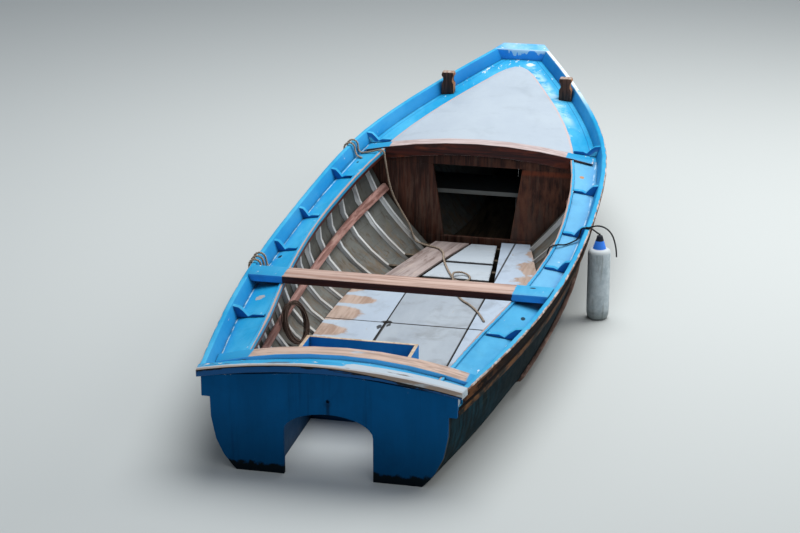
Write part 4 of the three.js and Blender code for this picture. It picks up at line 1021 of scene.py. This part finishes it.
# The outboard well's boards: deep blue with a cream rim, dark low down
def wellFinish():
    look = {"paint": "#0d78cc", "faded": "#2494e6", "primer": "#cfd8da", "wood": "#9c846c",
            "rim": "#d9c6ae", "rimDark": "#b0957a", "rimFrom": 0.664, "edge": "#cbb79e",
            "low": "#0c2d3a", "dirt": "#08121c"}
    finish = Finish("wellPaint")
    finish.begin(finish.worn(look, run=(1, 1, 0.3), fade=0.5, chips=0.10))
    rim = finish.ramp(finish.z, look["rimFrom"], look["rimFrom"] + 0.003)
    rim = finish.times(rim, finish.facing("Z", 0.2, 0.5))
    finish.over(rim, finish.grain(look["rim"], look["rimDark"], run=(0.4, 0.4, 1), scale=70.0)["Color"])
    finish.over(finish.rubbed(0.005, 0.6), look["edge"], strength=0.8)
    finish.over(finish.ramp(finish.z, 0.56, 0.28), look["low"], strength=0.85)
    finish.dirtyAndShaded(look["dirt"], corners=0.6, clouds=0.1, reach=0.08)
    return finish.done(roughness=0.6, spread=0.14, bump=0.4, depth=0.0012, specular=0.15)


# Ribs: off-white paint, chipped, browner at their feet
def ribFinish():
    look = {"paint": "#cdd1d2", "faded": "#e2e4e2", "primer": "#a29a8c", "wood": "#6d5a49",
            "low": "#7d6c55", "dirt": "#4a3d2c"}
    finish = Finish("ribPaint")
    extra = finish.times(finish.rubbed(0.006, 0.5), 0.3)
    finish.begin(finish.worn(look, run=(1, 1, 0.3), fade=0.8, chips=0.24, extra=extra))
    finish.over(finish.ramp(finish.z, 0.34, 0.16), look["low"], strength=0.4)
    finish.dirtyAndShaded(look["dirt"], corners=0.5, clouds=0.2, reach=0.04)
    return finish.done(roughness=0.65, spread=0.14, bump=0.5, depth=0.0014, specular=0.3)


# Dark lines between planks, at even steps below the sheer
def addSeams(finish, seams):
    phase = calc(finish.tree, "DIVIDE", finish.below("railTop"), seams["apart"])
    phase = calc(finish.tree, "FRACT", phase)
    mask = finish.band(phase, -0.5, seams["width"], 0.012)
    finish.over(mask, seams["colour"], strength=seams["strength"])


# Planking inside: grey paint, rust and damp stains, shaded under the deck
def innerPlankFinish():
    look = {"paint": "#5d5f5b", "faded": "#74756f", "primer": "#66604f", "wood": "#54442f",
            "seams": {"apart": 0.118, "width": 0.028, "colour": "#2e2a22", "strength": 0.22},
            "low": "#73583f", "stains": [(0.42, 0.32, 0.35, "#8f9088"), (0.55, 0.70, 0.45, "#5e6350")],
            "shade": "#261d17", "rust": "#4b3828", "dirt": "#2e271c"}
    finish = Finish("innerPlankPaint")
    finish.begin(finish.worn(look, run=(1, 0.15, 1), fade=0.8, chips=0.22))
    addSeams(finish, look["seams"])
    stain = finish.noise(scale=9.0, detail=6.0, rough=0.68, stretch=(1, 2.2, 0.7))
    low = finish.times(finish.ramp(finish.z, 0.36, 0.12), finish.ramp(stain, 0.44, 0.66))
    finish.over(low, look["low"], strength=0.7)
    finish.stains(stain, look["stains"])
    finish.over(finish.ramp(finish.below("railTop"), 0.29, 0.11), look["shade"], strength=0.6)
    rust = finish.noise(scale=16.0, detail=6.0, rough=0.7, stretch=(1, 1.6, 0.5))
    finish.over(finish.ramp(rust, 0.54, 0.64), look["rust"], strength=0.5)
    finish.dirtyAndShaded(look["dirt"], corners=0.75, clouds=0.3, reach=0.07)
    return finish.done(roughness=0.7, spread=0.14, bump=0.5, depth=0.0014, specular=0.25)


# Planking outside: near-black paint, teal towards the stern, weed along the waterline
def outerPlankFinish():
    look = {"paint": "#08171c", "faded": "#0e2a35", "primer": "#222e2c", "wood": "#221b14",
            "seams": {"apart": 0.122, "width": 0.030, "colour": "#05090a", "strength": 0.85},
            "streaks": [(0.52, 0.68, 0.55, "#16211c"), (0.40, 0.26, 0.2, "#2c4a4e")],
            "teal": "#143f4c", "dirt": "#070a08",
            "weed": {"colour": "#141a10", "scale": 13.0, "rise": 0.14, "from": 0.14, "soft": 0.02,
                     "strength": 0.9}}
    finish = Finish("outerPlankPaint")
    finish.begin(finish.worn(look, run=(1, 0.12, 1), fade=0.9, chips=0.26))
    addSeams(finish, look["seams"])
    streak = finish.noise(scale=16.0, detail=6.0, rough=0.68, stretch=(1, 1, 0.15))
    finish.stains(streak, look["streaks"])
    sternward = finish.times(finish.ramp(finish.y, -1.8, -3.0), finish.ramp(streak, 0.55, 0.40))
    finish.over(sternward, look["teal"], strength=0.6)
    addWeed(finish, look["weed"])
    finish.dirtyAndShaded(look["dirt"], corners=0.6, clouds=0.2, reach=0.08)
    return finish.done(roughness=0.7, spread=0.16, bump=0.6, depth=0.0018, specular=0.03)


# Long timbers outside the hull: the wale under the rail, rusty near the stern, and the rubbing strake
def waleFinish():
    look = {"light": "#5d3f2b", "dark": "#2a1d15", "rust": "#7c5330", "damp": "#101c1c",
            "dirt": "#0b0907"}
    finish = Finish("waleWood")
    finish.begin(finish.grain(look["light"], look["dark"], run=(1, 0.05, 1), scale=42.0, contrast=0.4))
    rust = finish.noise(scale=12.0, detail=6.0, rough=0.66, stretch=(1, 0.3, 1))
    sternward = finish.times(finish.ramp(finish.y, -1.2, -3.1), finish.ramp(rust, 0.38, 0.58))
    finish.over(sternward, look["rust"], strength=0.85)
    finish.over(finish.ramp(rust, 0.50, 0.40), look["damp"], strength=0.85)
    finish.dirtyAndShaded(look["dirt"], corners=0.7, clouds=0.2, reach=0.06)
    return finish.done(roughness=0.7, spread=0.15, bump=0.6, depth=0.0016, specular=0.08)


def strakeFinish():
    look = {"light": "#8e6f62", "dark": "#4f382f", "dirt": "#0c0a08",
            "stains": [(0.54, 0.64, 0.7, "#b29283"), (0.42, 0.34, 0.7, "#1c211d")]}
    finish = Finish("strakeWood")
    finish.begin(finish.grain(look["light"], look["dark"], run=(1, 0.05, 1), scale=40.0, contrast=0.4))
    worn = finish.noise(scale=18.0, detail=6.0, rough=0.66, stretch=(1, 0.2, 1))
    finish.stains(worn, look["stains"])
    finish.dirtyAndShaded(look["dirt"], corners=0.6, clouds=0.2, reach=0.06)
    return finish.done(roughness=0.62, spread=0.14, bump=0.6, depth=0.0016, specular=0.3)


# The stringer inside, over the ribs
def stringerFinish():
    look = {"light": "#c0948a", "dark": "#845c52", "worn": "#c3a294", "edge": "#b79485",
            "dirt": "#22130e"}
    finish = Finish("stringerWood")
    finish.begin(finish.grain(look["light"], look["dark"], run=(1, 0.04, 1), scale=44.0, contrast=0.42))
    worn = finish.noise(scale=15.0, detail=5.0, rough=0.62, stretch=(1, 0.15, 1))
    finish.over(finish.ramp(worn, 0.55, 0.68), look["worn"], strength=0.55)
    finish.over(finish.rubbed(0.005, 0.6), look["edge"], strength=0.6)
    finish.dirtyAndShaded(look["dirt"], corners=0.6, clouds=0.15, reach=0.05)
    return finish.done(roughness=0.6, spread=0.14, bump=0.5, depth=0.0014, specular=0.3)


# Bottom: dark paint below, brown wood inside
def bottomFinish():
    look = {"paint": "#14211d", "faded": "#26352d", "primer": "#39423a", "wood": "#4a3c2d",
            "inside": "#6b5c4a", "insideDark": "#2e251b", "dirt": "#0a0906"}
    finish = Finish("bottomPaint")
    finish.begin(finish.worn(look, run=(1, 0.2, 1), fade=0.9, chips=0.22))
    inside = finish.times(finish.facing("Z", -0.2, 0.2), finish.ramp(finish.z, 0.01, 0.024))
    finish.over(inside, finish.grain(look["inside"], look["insideDark"], scale=30.0)["Color"])
    finish.dirtyAndShaded(look["dirt"], corners=0.8, clouds=0.3, reach=0.10)
    return finish.done(roughness=0.6, spread=0.16, bump=0.5, depth=0.0015, specular=0.35)


# Floor boards: pale grey-blue paint, dark seams, bare scalloped patches at the ribs' feet
soleLook = {
    "primer": "#b3a799", "wood": "#a48c78", "bare": "#c3ac9d", "bareDark": "#a58a79", "dirt": "#574c3f",
    "seam": "#1a1613",
    # Each seam: axis it lies across, place, from, to, half its width
    "seams": [("x", -0.265, -2.4, -0.66, 0.0105), ("x", -0.265, -0.66, 0.28, 0.0055),
              ("x", 0.300, -2.4, 1.2, 0.0065), ("y", -0.660, -0.265, 0.9, 0.0085),
              ("y", -0.660, -0.9, -0.265, 0.0045)],
    # Each split, beside the seams' crossing: centre, size, strength, raggedness
    "splits": [((-0.262, -0.655, 0.12), (0.030, 0.040, 0.05), 0.95, 1.1),
               ((-0.235, -0.700, 0.12), (0.016, 0.030, 0.05), 0.9, 1.2),
               ((-0.290, -0.760, 0.12), (0.018, 0.060, 0.05), 0.9, 1.2)],
}
# Each patch: centre, size, raggedness
soleParts = {
    "port": {
        "material": "solePortPaint", "paint": "#b0bdcb", "faded": "#c2ced9",
        "patches": [((-0.62, -1.62, 0.12), (0.16, 0.09, 0.1), 0.3),
                    ((-0.65, -1.38, 0.12), (0.17, 0.09, 0.1), 0.3),
                    ((-0.68, -1.14, 0.12), (0.20, 0.11, 0.1), 0.3),
                    ((-0.67, -0.88, 0.12), (0.20, 0.115, 0.1), 0.25),
                    ((-0.65, -0.555, 0.12), (0.20, 0.145, 0.1), 0.25),
                    ((-0.62, -0.27, 0.12), (0.20, 0.095, 0.1), 0.25),
                    ((-0.70, -0.05, 0.12), (0.14, 0.085, 0.1), 0.3)]},
    "centre": {"material": "soleCentrePaint", "paint": "#a6afb8", "faded": "#b9c2c9", "patches": []},
    "starboard": {
        "material": "soleStarboardPaint", "paint": "#b6c4d4", "faded": "#c8d6e4",
        "patches": [((0.62, 0.95, 0.12), (0.20, 0.16, 0.1), 0.55),
                    ((0.60, 0.66, 0.12), (0.19, 0.17, 0.1), 0.55),
                    ((0.64, 0.36, 0.12), (0.20, 0.16, 0.1), 0.55),
                    ((0.68, 0.08, 0.12), (0.18, 0.14, 0.1), 0.55)]},
}


def soleFinish(part):
    look = {**soleLook, **soleParts[part]}
    finish = Finish(look["material"])
    finish.begin(finish.worn(look, run=(1, 0.3, 1), fade=0.7, chips=0.16))
    bare = finish.grain(look["bare"], look["bareDark"], run=(1, 0.08, 1), scale=40.0)["Color"]
    for centre, size, rag in look["patches"]:
        finish.over(finish.patch(centre, size, rag), bare)
    for axis, place, low, high, half in look["seams"]:
        across, along = (finish.x, finish.y) if axis == "x" else (finish.y, finish.x)
        line = finish.band(across, place - half, place + half, 0.002)
        finish.over(finish.times(line, finish.band(along, low, high, 0.002)), look["seam"], strength=0.92)
    for centre, size, strength, rag in look["splits"]:
        finish.over(finish.patch(centre, size, rag), look["seam"], strength)
    finish.dirtyAndShaded(look["dirt"], corners=0.7, clouds=0.28, reach=0.07)
    return finish.done(roughness=0.62, spread=0.16, bump=0.4, depth=0.0012, specular=0.3)


# Hatch boards: pale paint with dark edges
def hatchFinish():
    look = {"paint": "#b5bfc7", "faded": "#c9d2d8", "primer": "#a9a096", "wood": "#8d7b6b",
            "side": "#3a322b", "edge": "#4a4036", "dirt": "#5d5346"}
    finish = Finish("hatchBoardPaint")
    finish.begin(finish.worn(look, run=(0.3, 1, 1), fade=0.7, chips=0.2))
    finish.over(finish.facing("Z", 0.5, 0.2), look["side"], strength=0.8)
    finish.over(finish.rubbed(0.014, 1.0), look["edge"], strength=0.8)
    finish.dirtyAndShaded(look["dirt"], corners=0.6, clouds=0.28, reach=0.05)
    return finish.done(roughness=0.62, spread=0.15, bump=0.4, depth=0.0012, specular=0.3)


# The loose plank lies aslant, and its grain runs along it
def loosePlankFinish():
    look = {"light": "#b3a49f", "dark": "#877670", "turn": 13.5, "dirt": "#2d2019",
            "stains": [(0.54, 0.66, 0.5, "#c9b7ab"), (0.42, 0.34, 0.5, "#5d463b")]}
    finish = Finish("loosePlankWood")
    turned = finish.tree.nodes.new("ShaderNodeMapping")
    turned.inputs["Rotation"].default_value = (0, 0, math.radians(look["turn"]))
    put(finish.tree, finish.place, turned.inputs["Vector"])
    along = turned.outputs[0]
    finish.begin(useGroup(finish.tree, woodGrain, Vector=along, Run=(1, 0.05, 1), Scale=46.0,
                          Light=tone(look["light"]), Dark=tone(look["dark"]), Contrast=0.45))
    stretched = vectorCalc(finish.tree, "MULTIPLY", along, (1, 0.2, 1))
    finish.stains(noiseAt(finish.tree, stretched, 20.0, detail=5.0, roughness=0.65), look["stains"])
    finish.dirtyAndShaded(look["dirt"], corners=0.6, clouds=0.15, reach=0.04)
    return finish.done(roughness=0.66, spread=0.12, bump=0.6, depth=0.0015, specular=0.25)


# The shelf in the cuddy: grey front edge, black above, where no light reaches
def shelfFinish():
    look = {"paint": "#6f716d", "faded": "#80817c", "primer": "#7d756a", "wood": "#55493e",
            "top": "#0c0b0a", "dirt": "#14110d"}
    finish = Finish("shelfPaint")
    finish.begin(finish.worn(look, run=(0.2, 1, 1), fade=0.7, chips=0.25))
    finish.over(finish.facing("Z", 0.3, 0.7), look["top"], strength=0.9)
    finish.dirtyAndShaded(look["dirt"], corners=0.5, clouds=0.3, reach=0.04)
    return finish.done(roughness=0.7, spread=0.1, bump=0.4, depth=0.0012, specular=0.25)


# Bitts: dark weathered posts, warmer to starboard, with pale end grain
def bittFinish():
    look = {"body": "#55392d", "bodyDark": "#2c1c16", "head": "#b3a498", "headDark": "#8f6f5c",
            "warm": "#b0764a", "edge": "#b8937c", "dirt": "#0e0906"}
    finish = Finish("bittWood")
    finish.begin(finish.grain(look["body"], look["bodyDark"], run=(1, 1, 0.08), scale=70.0, contrast=0.35))
    streak = finish.noise(scale=40.0, detail=4.0, rough=0.6, stretch=(1, 1, 0.2))
    finish.over(finish.times(finish.facing("X", 0.3, 0.7), finish.ramp(streak, 0.36, 0.56)), look["warm"])
    finish.over(finish.rubbed(0.010, 1.0), look["edge"], strength=0.85)
    head = finish.blend(finish.ramp(streak, 0.38, 0.60), look["headDark"], look["head"])
    finish.over(finish.facing("Z", 0.4, 0.8), head)
    finish.dirtyAndShaded(look["dirt"], corners=0.7, clouds=0.2, reach=0.04)
    return finish.done(roughness=0.68, spread=0.12, bump=0.7, depth=0.0015, specular=0.3)


# Ropes: each strand toned by fine threads, with painted shade in the grooves between strands
ropeLooks = {
    "blackRope": {"light": "#2b2c30", "dark": "#0a0a0c", "stain": "#3a3b3c",
                  "cords": ("fenderLanyard", "fenderLanyardTail")},
    "tanRope": {"light": "#d8c6b3", "dark": "#8c7965", "stain": "#ab9a86",
                "cords": ("mooringRope", "railHitch")},
    "brownRope": {"light": "#9a8072", "dark": "#32251d", "stain": "#5a473b", "cords": ("hungLine",)},
}
# Painted shade in the grooves between strands
grooveShade = "#0c0a08"


def ropeFinish(name):
    look = ropeLooks[name]
    finish = Finish(name)
    coords = finish.tree.nodes.new("ShaderNodeUVMap")
    coords.uv_map = "alongRope"
    threads = vectorCalc(finish.tree, "MULTIPLY", coords.outputs[0], (160.0, 42.0, 1))
    threads = noiseAt(finish.tree, threads, 1.0, detail=3.0, roughness=0.6)
    finish.colour = finish.blend(finish.ramp(threads, 0.35, 0.68), look["dark"], look["light"])
    finish.height = threads
    old = finish.noise(scale=6.0, detail=4.0, rough=0.6)
    finish.over(finish.ramp(old, 0.46, 0.66), look["stain"], strength=0.6)
    finish.dirtyAndShaded(grooveShade, corners=0.8, clouds=0.1, reach=0.006)
    return finish.done(roughness=0.8, spread=0.08, bump=0.7, depth=0.0012, specular=0.2)


# Fender: mottled grey skin, a painted highlight as a pale ring on the shoulder, blue above it and a dark
# cone at the eye
def fenderFinish():
    look = {"skin": "#b1bfc6", "mottled": "#cad5da", "stain": "#868a88", "foot": "#38402f",
            # The first ring, pale, is a painted highlight on the shoulder
            "rings": [(0.612, "#ccd3d5"), (0.6385, "#3a8cff"), (0.692, "#0d1626")],  # height, colour
            "dirt": "#2b2a26"}
    finish = Finish("fenderSkin")
    mottle = finish.noise(scale=26.0, detail=6.0, rough=0.7)
    finish.colour = finish.blend(finish.ramp(mottle, 0.34, 0.62), look["skin"], look["mottled"])
    finish.height = mottle
    streak = finish.noise(scale=30.0, detail=5.0, rough=0.65, stretch=(1, 1, 0.12))
    finish.over(finish.ramp(streak, 0.5, 0.68), look["stain"], strength=0.6)
    for height, colour in look["rings"]:
        finish.over(finish.ramp(finish.z, height, height + 0.002), colour)
    finish.over(finish.ramp(finish.z, 0.25, 0.15), look["foot"], strength=0.6)
    finish.dirtyAndShaded(look["dirt"], corners=0.6, clouds=0.2, reach=0.03)
    return finish.done(roughness=0.5, spread=0.12, bump=0.25, depth=0.0008, specular=0.35)


print("finishes ready")


def outerAt(y):
    for (y0, x0), (y1, x1) in zip(railOuter, railOuter[1:]):
        if y <= y1:
            break
    return x0 + (x1 - x0) * (y - y0) / (y1 - y0)


def markFromRail(piece):
    marks = piece.data.attributes.new("fromRail", "FLOAT", "POINT")
    for vertex in piece.data.vertices:
        marks.data[vertex.index].value = outerAt(vertex.co.y) - abs(vertex.co.x)


def camel(name):
    first, *rest = name.split("_")
    return first + "".join(word.title() for word in rest)


# How a solid's copy is cleaned and its edges are rounded, with angles in degrees
edges = {"merge": 0.00002, "flat": 0.5, "sharp": 34, "segments": 2}


# A solid's copy, merged, its flat parts made whole and its edges rounded, then shown for the solid
def dressed(nodeName, slotName, materials, width):
    source = nodes[nodeName]
    body = source["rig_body"]
    selectOnly(source)
    bpy.ops.object.duplicate()
    piece = bpy.context.object
    piece.name = camel(nodeName)
    piece.parent = None
    for key in list(piece.keys()):
        del piece[key]
    bpy.ops.object.mode_set(mode="EDIT")
    bpy.ops.mesh.select_all(action="SELECT")
    bpy.ops.mesh.remove_doubles(threshold=edges["merge"])
    bpy.ops.mesh.dissolve_limited(angle_limit=math.radians(edges["flat"]))
    bpy.ops.object.mode_set(mode="OBJECT")
    if width:
        bevel = piece.modifiers.new("edges", "BEVEL")
        bevel.width = width
        bevel.segments = edges["segments"]
        bevel.limit_method = "ANGLE"
        bevel.angle_limit = math.radians(edges["sharp"])
        bevel.use_clamp_overlap = False
        bpy.ops.object.modifier_apply(modifier="edges")
    bpy.ops.object.shade_smooth_by_angle(angle=math.radians(edges["sharp"]))
    piece.data.materials.clear()
    for material in materials:
        piece.data.materials.append(material)
    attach(piece, body)
    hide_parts(nodeName)
    return piece


def both(name):
    return [name + "_port", name + "_starboard"]


# Every solid's piece but the hull's sides, the fender and the cords
def dressPlainPieces():
    bulkhead = bulkheadFinish()
    # Each row: slot, finish, width of the rounded edges, solids
    rows = [
        ("blue_paint", railFinish(), 0.004, both("rail")),
        ("blue_paint", sideDeckFinish(), 0.002, both("side_deck") + ["stern_deck"]),
        ("blue_paint", coamingFinish(), 0.003, both("carlin")),
        ("blue_paint", foredeckFinish(), 0.002, ["foredeck"]),
        ("blue_paint", bowBlockFinish(), 0.005, ["breasthook"]),
        ("pale_deck_paint", foredeckPanelFinish(), 0.002, ["foredeck_panel"]),
        ("red_brown_wood", foredeckBeamFinish(), 0.005, ["foredeck_beam"]),
        ("red_brown_wood", bulkhead, 0.002, both("bulkhead") + ["bulkhead_header"]),
        ("red_brown_wood", bulkhead, 0.003, ["bulkhead_sill"]),
        ("hull_inside_paint", shelfFinish(), 0.002, ["cuddy_shelf"]),
        ("bare_wood", thwartFinish(), 0.004, ["thwart"]),
        ("bare_wood", sternBeamFinish(), 0.004, ["stern_beam"]),
        ("bare_wood", transomCapFinish(), 0.004, ["transom_cap"]),
        ("deep_blue_paint", transomFinish(), 0.003, ["transom"]),
        ("deep_blue_paint", wellFinish(), 0.003, both("well") + ["well_front"]),
        ("strake_wood", waleFinish(), 0.003, both("wale")),
        ("strake_wood", strakeFinish(), 0.005, both("strake")),
        ("strake_wood", stringerFinish(), 0.004, both("stringer")),
        ("bitt_wood", bittFinish(), 0.005, both("bitt")),
        ("sole_paint", hatchFinish(), 0.003, ["hatch_board_aft", "hatch_board_fore"]),
        ("bare_wood", loosePlankFinish(), 0.003, ["loose_plank"]),
        ("sole_paint", soleFinish("port"), 0.002, ["sole_aft_port", "sole_mid_port"]),
        ("sole_paint", soleFinish("centre"), 0.002, ["sole_aft_centre", "sole_mid_centre"]),
        ("sole_paint", soleFinish("starboard"), 0.002, ["sole_aft_starboard", "sole_fore_starboard"]),
        ("bottom_paint", bottomFinish(), 0.0, ["bottom"]),
        ("bottom_paint", outerPlankFinish(), 0.004, ["stem"]),
    ]
    for slotName, finish, width, solids in rows:
        for nodeName in solids:
            piece = dressed(nodeName, slotName, [finish], width)
            if nodeName.startswith(("rail", "side_deck", "stern_deck", "foredeck")):
                markFromRail(piece)
    print("plain pieces dressed:", sum(len(row[3]) for row in rows))


# The hull's sides are solids of these lengths
hullLengths = ("aft", "middle", "fore", "bow")
# Ribs aft and fore: first place, step, number. Half a rib's width, and how far a face looks outboard
ribs = {"aft": (-0.250, -0.227, 11), "fore": (0.030, 0.264, 5), "half": 0.018, "outward": 0.12}


def ribPlaces():
    places = []
    for first, step, count in (ribs["aft"], ribs["fore"]):
        places += [first + step * i for i in range(count)]
    return places


# The sides: outer planking, inner planking and ribs each take their own finish
def dressSides():
    outer, inner, rib = 0, 1, 2
    finishes = [outerPlankFinish(), innerPlankFinish(), ribFinish()]
    places = ribPlaces()
    half = ribs["half"]
    for side, sign in (("port", -1), ("starboard", 1)):
        for length in hullLengths:
            mesh = dressed(f"side_{side}_{length}", "hull_inside_paint", finishes, 0.0).data
            for face in mesh.polygons:
                ys = [mesh.vertices[i].co.y for i in face.vertices]
                onRib = any(min(ys) > y - half and max(ys) < y + half for y in places)
                outward = face.normal.x * sign > ribs["outward"]
                face.material_index = outer if outward else rib if onRib else inner
    print("sides dressed")


# Fender: a skin shaped ring by ring upwards, each ring's height and radius, with an eye at the top
fenderSize = {
    "centre": (1.1266, -0.300), "sides": 40, "low": 0.115, "sharp": 40,
    "profile": [(0.000, 0.020), (0.004, 0.030), (0.012, 0.048), (0.026, 0.0605), (0.040, 0.0690),
                (0.060, 0.0738), (0.076, 0.0760), (0.079, 0.0738), (0.083, 0.0738), (0.086, 0.0764),
                (0.200, 0.0767), (0.340, 0.0764), (0.480, 0.0766), (0.493, 0.0758), (0.504, 0.0735),
                (0.514, 0.0672), (0.522, 0.0560), (0.5235, 0.0450), (0.526, 0.0435), (0.531, 0.0432),
                (0.546, 0.0382), (0.562, 0.0330), (0.578, 0.0278), (0.592, 0.0232), (0.604, 0.0208),
                (0.612, 0.0180), (0.6135, 0.0100)],
}


def makeFender():
    size = fenderSize
    cx, cy = size["centre"]
    bpy.ops.object.select_all(action="DESELECT")
    height, radius = size["profile"][0]
    bpy.ops.mesh.primitive_circle_add(vertices=size["sides"], radius=radius, fill_type="NGON",
                                      location=(cx, cy, size["low"] + height))
    piece = bpy.context.object
    piece.name = "fenderSkin"
    bpy.ops.object.mode_set(mode="EDIT")
    bpy.ops.mesh.select_all(action="SELECT")
    for (z0, r0), (z1, r1) in zip(size["profile"], size["profile"][1:]):
        bpy.ops.mesh.extrude_region_move(TRANSFORM_OT_translate={"value": (0, 0, z1 - z0)})
        bpy.ops.transform.resize(value=(r1 / r0, r1 / r0, 1), center_override=(cx, cy, size["low"] + z1))
    bpy.ops.mesh.select_all(action="SELECT")
    bpy.ops.mesh.normals_make_consistent(inside=False)
    bpy.ops.object.mode_set(mode="OBJECT")
    bpy.ops.object.transform_apply(location=True, rotation=True, scale=True)
    bpy.ops.object.shade_smooth_by_angle(angle=math.radians(size["sharp"]))
    piece.data.materials.append(fenderFinish())
    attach(piece, "root")
    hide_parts("fender")
    print("fender made")


def dressCords():
    for name, look in ropeLooks.items():
        finish = ropeFinish(name)
        for cordName in look["cords"]:
            cords[cordName].data.materials.append(finish)
    print("cords dressed:", len(cords))


dressPlainPieces()
dressSides()
makeFender()
dressCords()

# Floor at the waterline, which ends a little inside the hull's outer faces, soft light from above
# and a pale sky
stage = {"waterline": 0.14, "inset": 0.010, "reach": 60, "floor": "#c9cdcb", "floorRough": 0.85,
         "floorShine": 0.15, "sky": (0.80, 0.88, 1.0, 1), "skyStrength": 0.28}
lights = [
    # name, place, aimed at, size, power, colour
    ("skyLight", (1.2, 2.0, 9.5), (0, 0, 0.5), 9.0, 1080, (0.97, 0.985, 1.0)),
    ("asternLight", (5.5, -9.0, 6.0), (0, -1, 0.5), 7.0, 110, (1.0, 0.98, 0.95)),
    ("warmLight", (8.0, 4.0, 5.0), (0, 0, 0.5), 6.0, 240, (1.0, 0.96, 0.90)),
]


def hullAtFloor():
    # Where the transom and the starboard planks cross the waterline: place along the boat, half width
    level = stage["waterline"]
    found = {}
    for name in ["transom"] + [f"side_starboard_{length}" for length in hullLengths]:
        mesh = nodes[name].data
        for edge in mesh.edges:
            a, b = (mesh.vertices[i].co for i in edge.vertices)
            if (a.z - level) * (b.z - level) < 0:
                place = a.lerp(b, (level - a.z) / (b.z - a.z))
                y = round(place.y, 4)
                found[y] = max(found.get(y, 0.0), abs(place.x))
    return outerLine(sorted(found.items()))


def middleOf(nodeName, axis):
    spots = [vertex.co[axis] for vertex in nodes[nodeName].data.vertices]
    return (min(spots) + max(spots)) / 2


def makeFloorMesh():
    # A wide floor with the hull's outline left open, so that it doesn't fill the boat
    level, inset = stage["waterline"], stage["inset"]
    outline = hullAtFloor()
    aft = middleOf("transom", 1)
    fore = outline[-1][0] - inset
    starboard = [(half - inset, min(max(y, aft), fore)) for y, half in outline]
    edge = starboard + [(-x, y) for x, y in reversed(starboard)]
    points = [(x, y, level) for x, y in edge]
    for x, y in edge:
        reach = stage["reach"] / math.hypot(x, y)
        points.append((x * reach, y * reach, level))
    count = len(edge)
    faces = [(i, i + count, (i + 1) % count + count, (i + 1) % count) for i in range(count)]
    # The floor shows in the outboard well's tunnel too, between the middles of its boards
    first = len(points)
    half = middleOf("well_starboard", 0)
    fore = middleOf("well_front", 1)
    points += [(-half, aft, level), (half, aft, level), (half, fore, level), (-half, fore, level)]
    faces.append((first, first + 1, first + 2, first + 3))
    print("floor ends at", count, "points of the hull")
    return newMeshPiece("paleFloor", points, faces)


def makeFloor():
    floor = makeFloorMesh()
    material = bpy.data.materials.new("paleFloor")
    material.use_nodes = True
    shader = material.node_tree.nodes["Principled BSDF"]
    shader.inputs["Base Color"].default_value = tone(stage["floor"])
    shader.inputs["Roughness"].default_value = stage["floorRough"]
    shader.inputs["Specular IOR Level"].default_value = stage["floorShine"]
    floor.data.materials.append(material)


def lightStage():
    for name, place, aim, size, power, colour in lights:
        data = bpy.data.lights.new(name, "AREA")
        data.shape = "DISK"
        data.size = size
        data.energy = power
        data.color = colour
        light = bpy.data.objects.new(name, data)
        scene.collection.objects.link(light)
        light.location = place
        light.rotation_euler = (Vector(aim) - Vector(place)).to_track_quat("-Z", "Y").to_euler()
    world = bpy.data.worlds.new("studio")
    world.use_nodes = True
    sky = world.node_tree.nodes["Background"].inputs
    sky["Color"].default_value = stage["sky"]
    sky["Strength"].default_value = stage["skyStrength"]
    scene.world = world
    scene.view_settings.view_transform = "Standard"


makeFloor()
lightStage()
print("floor and light set")
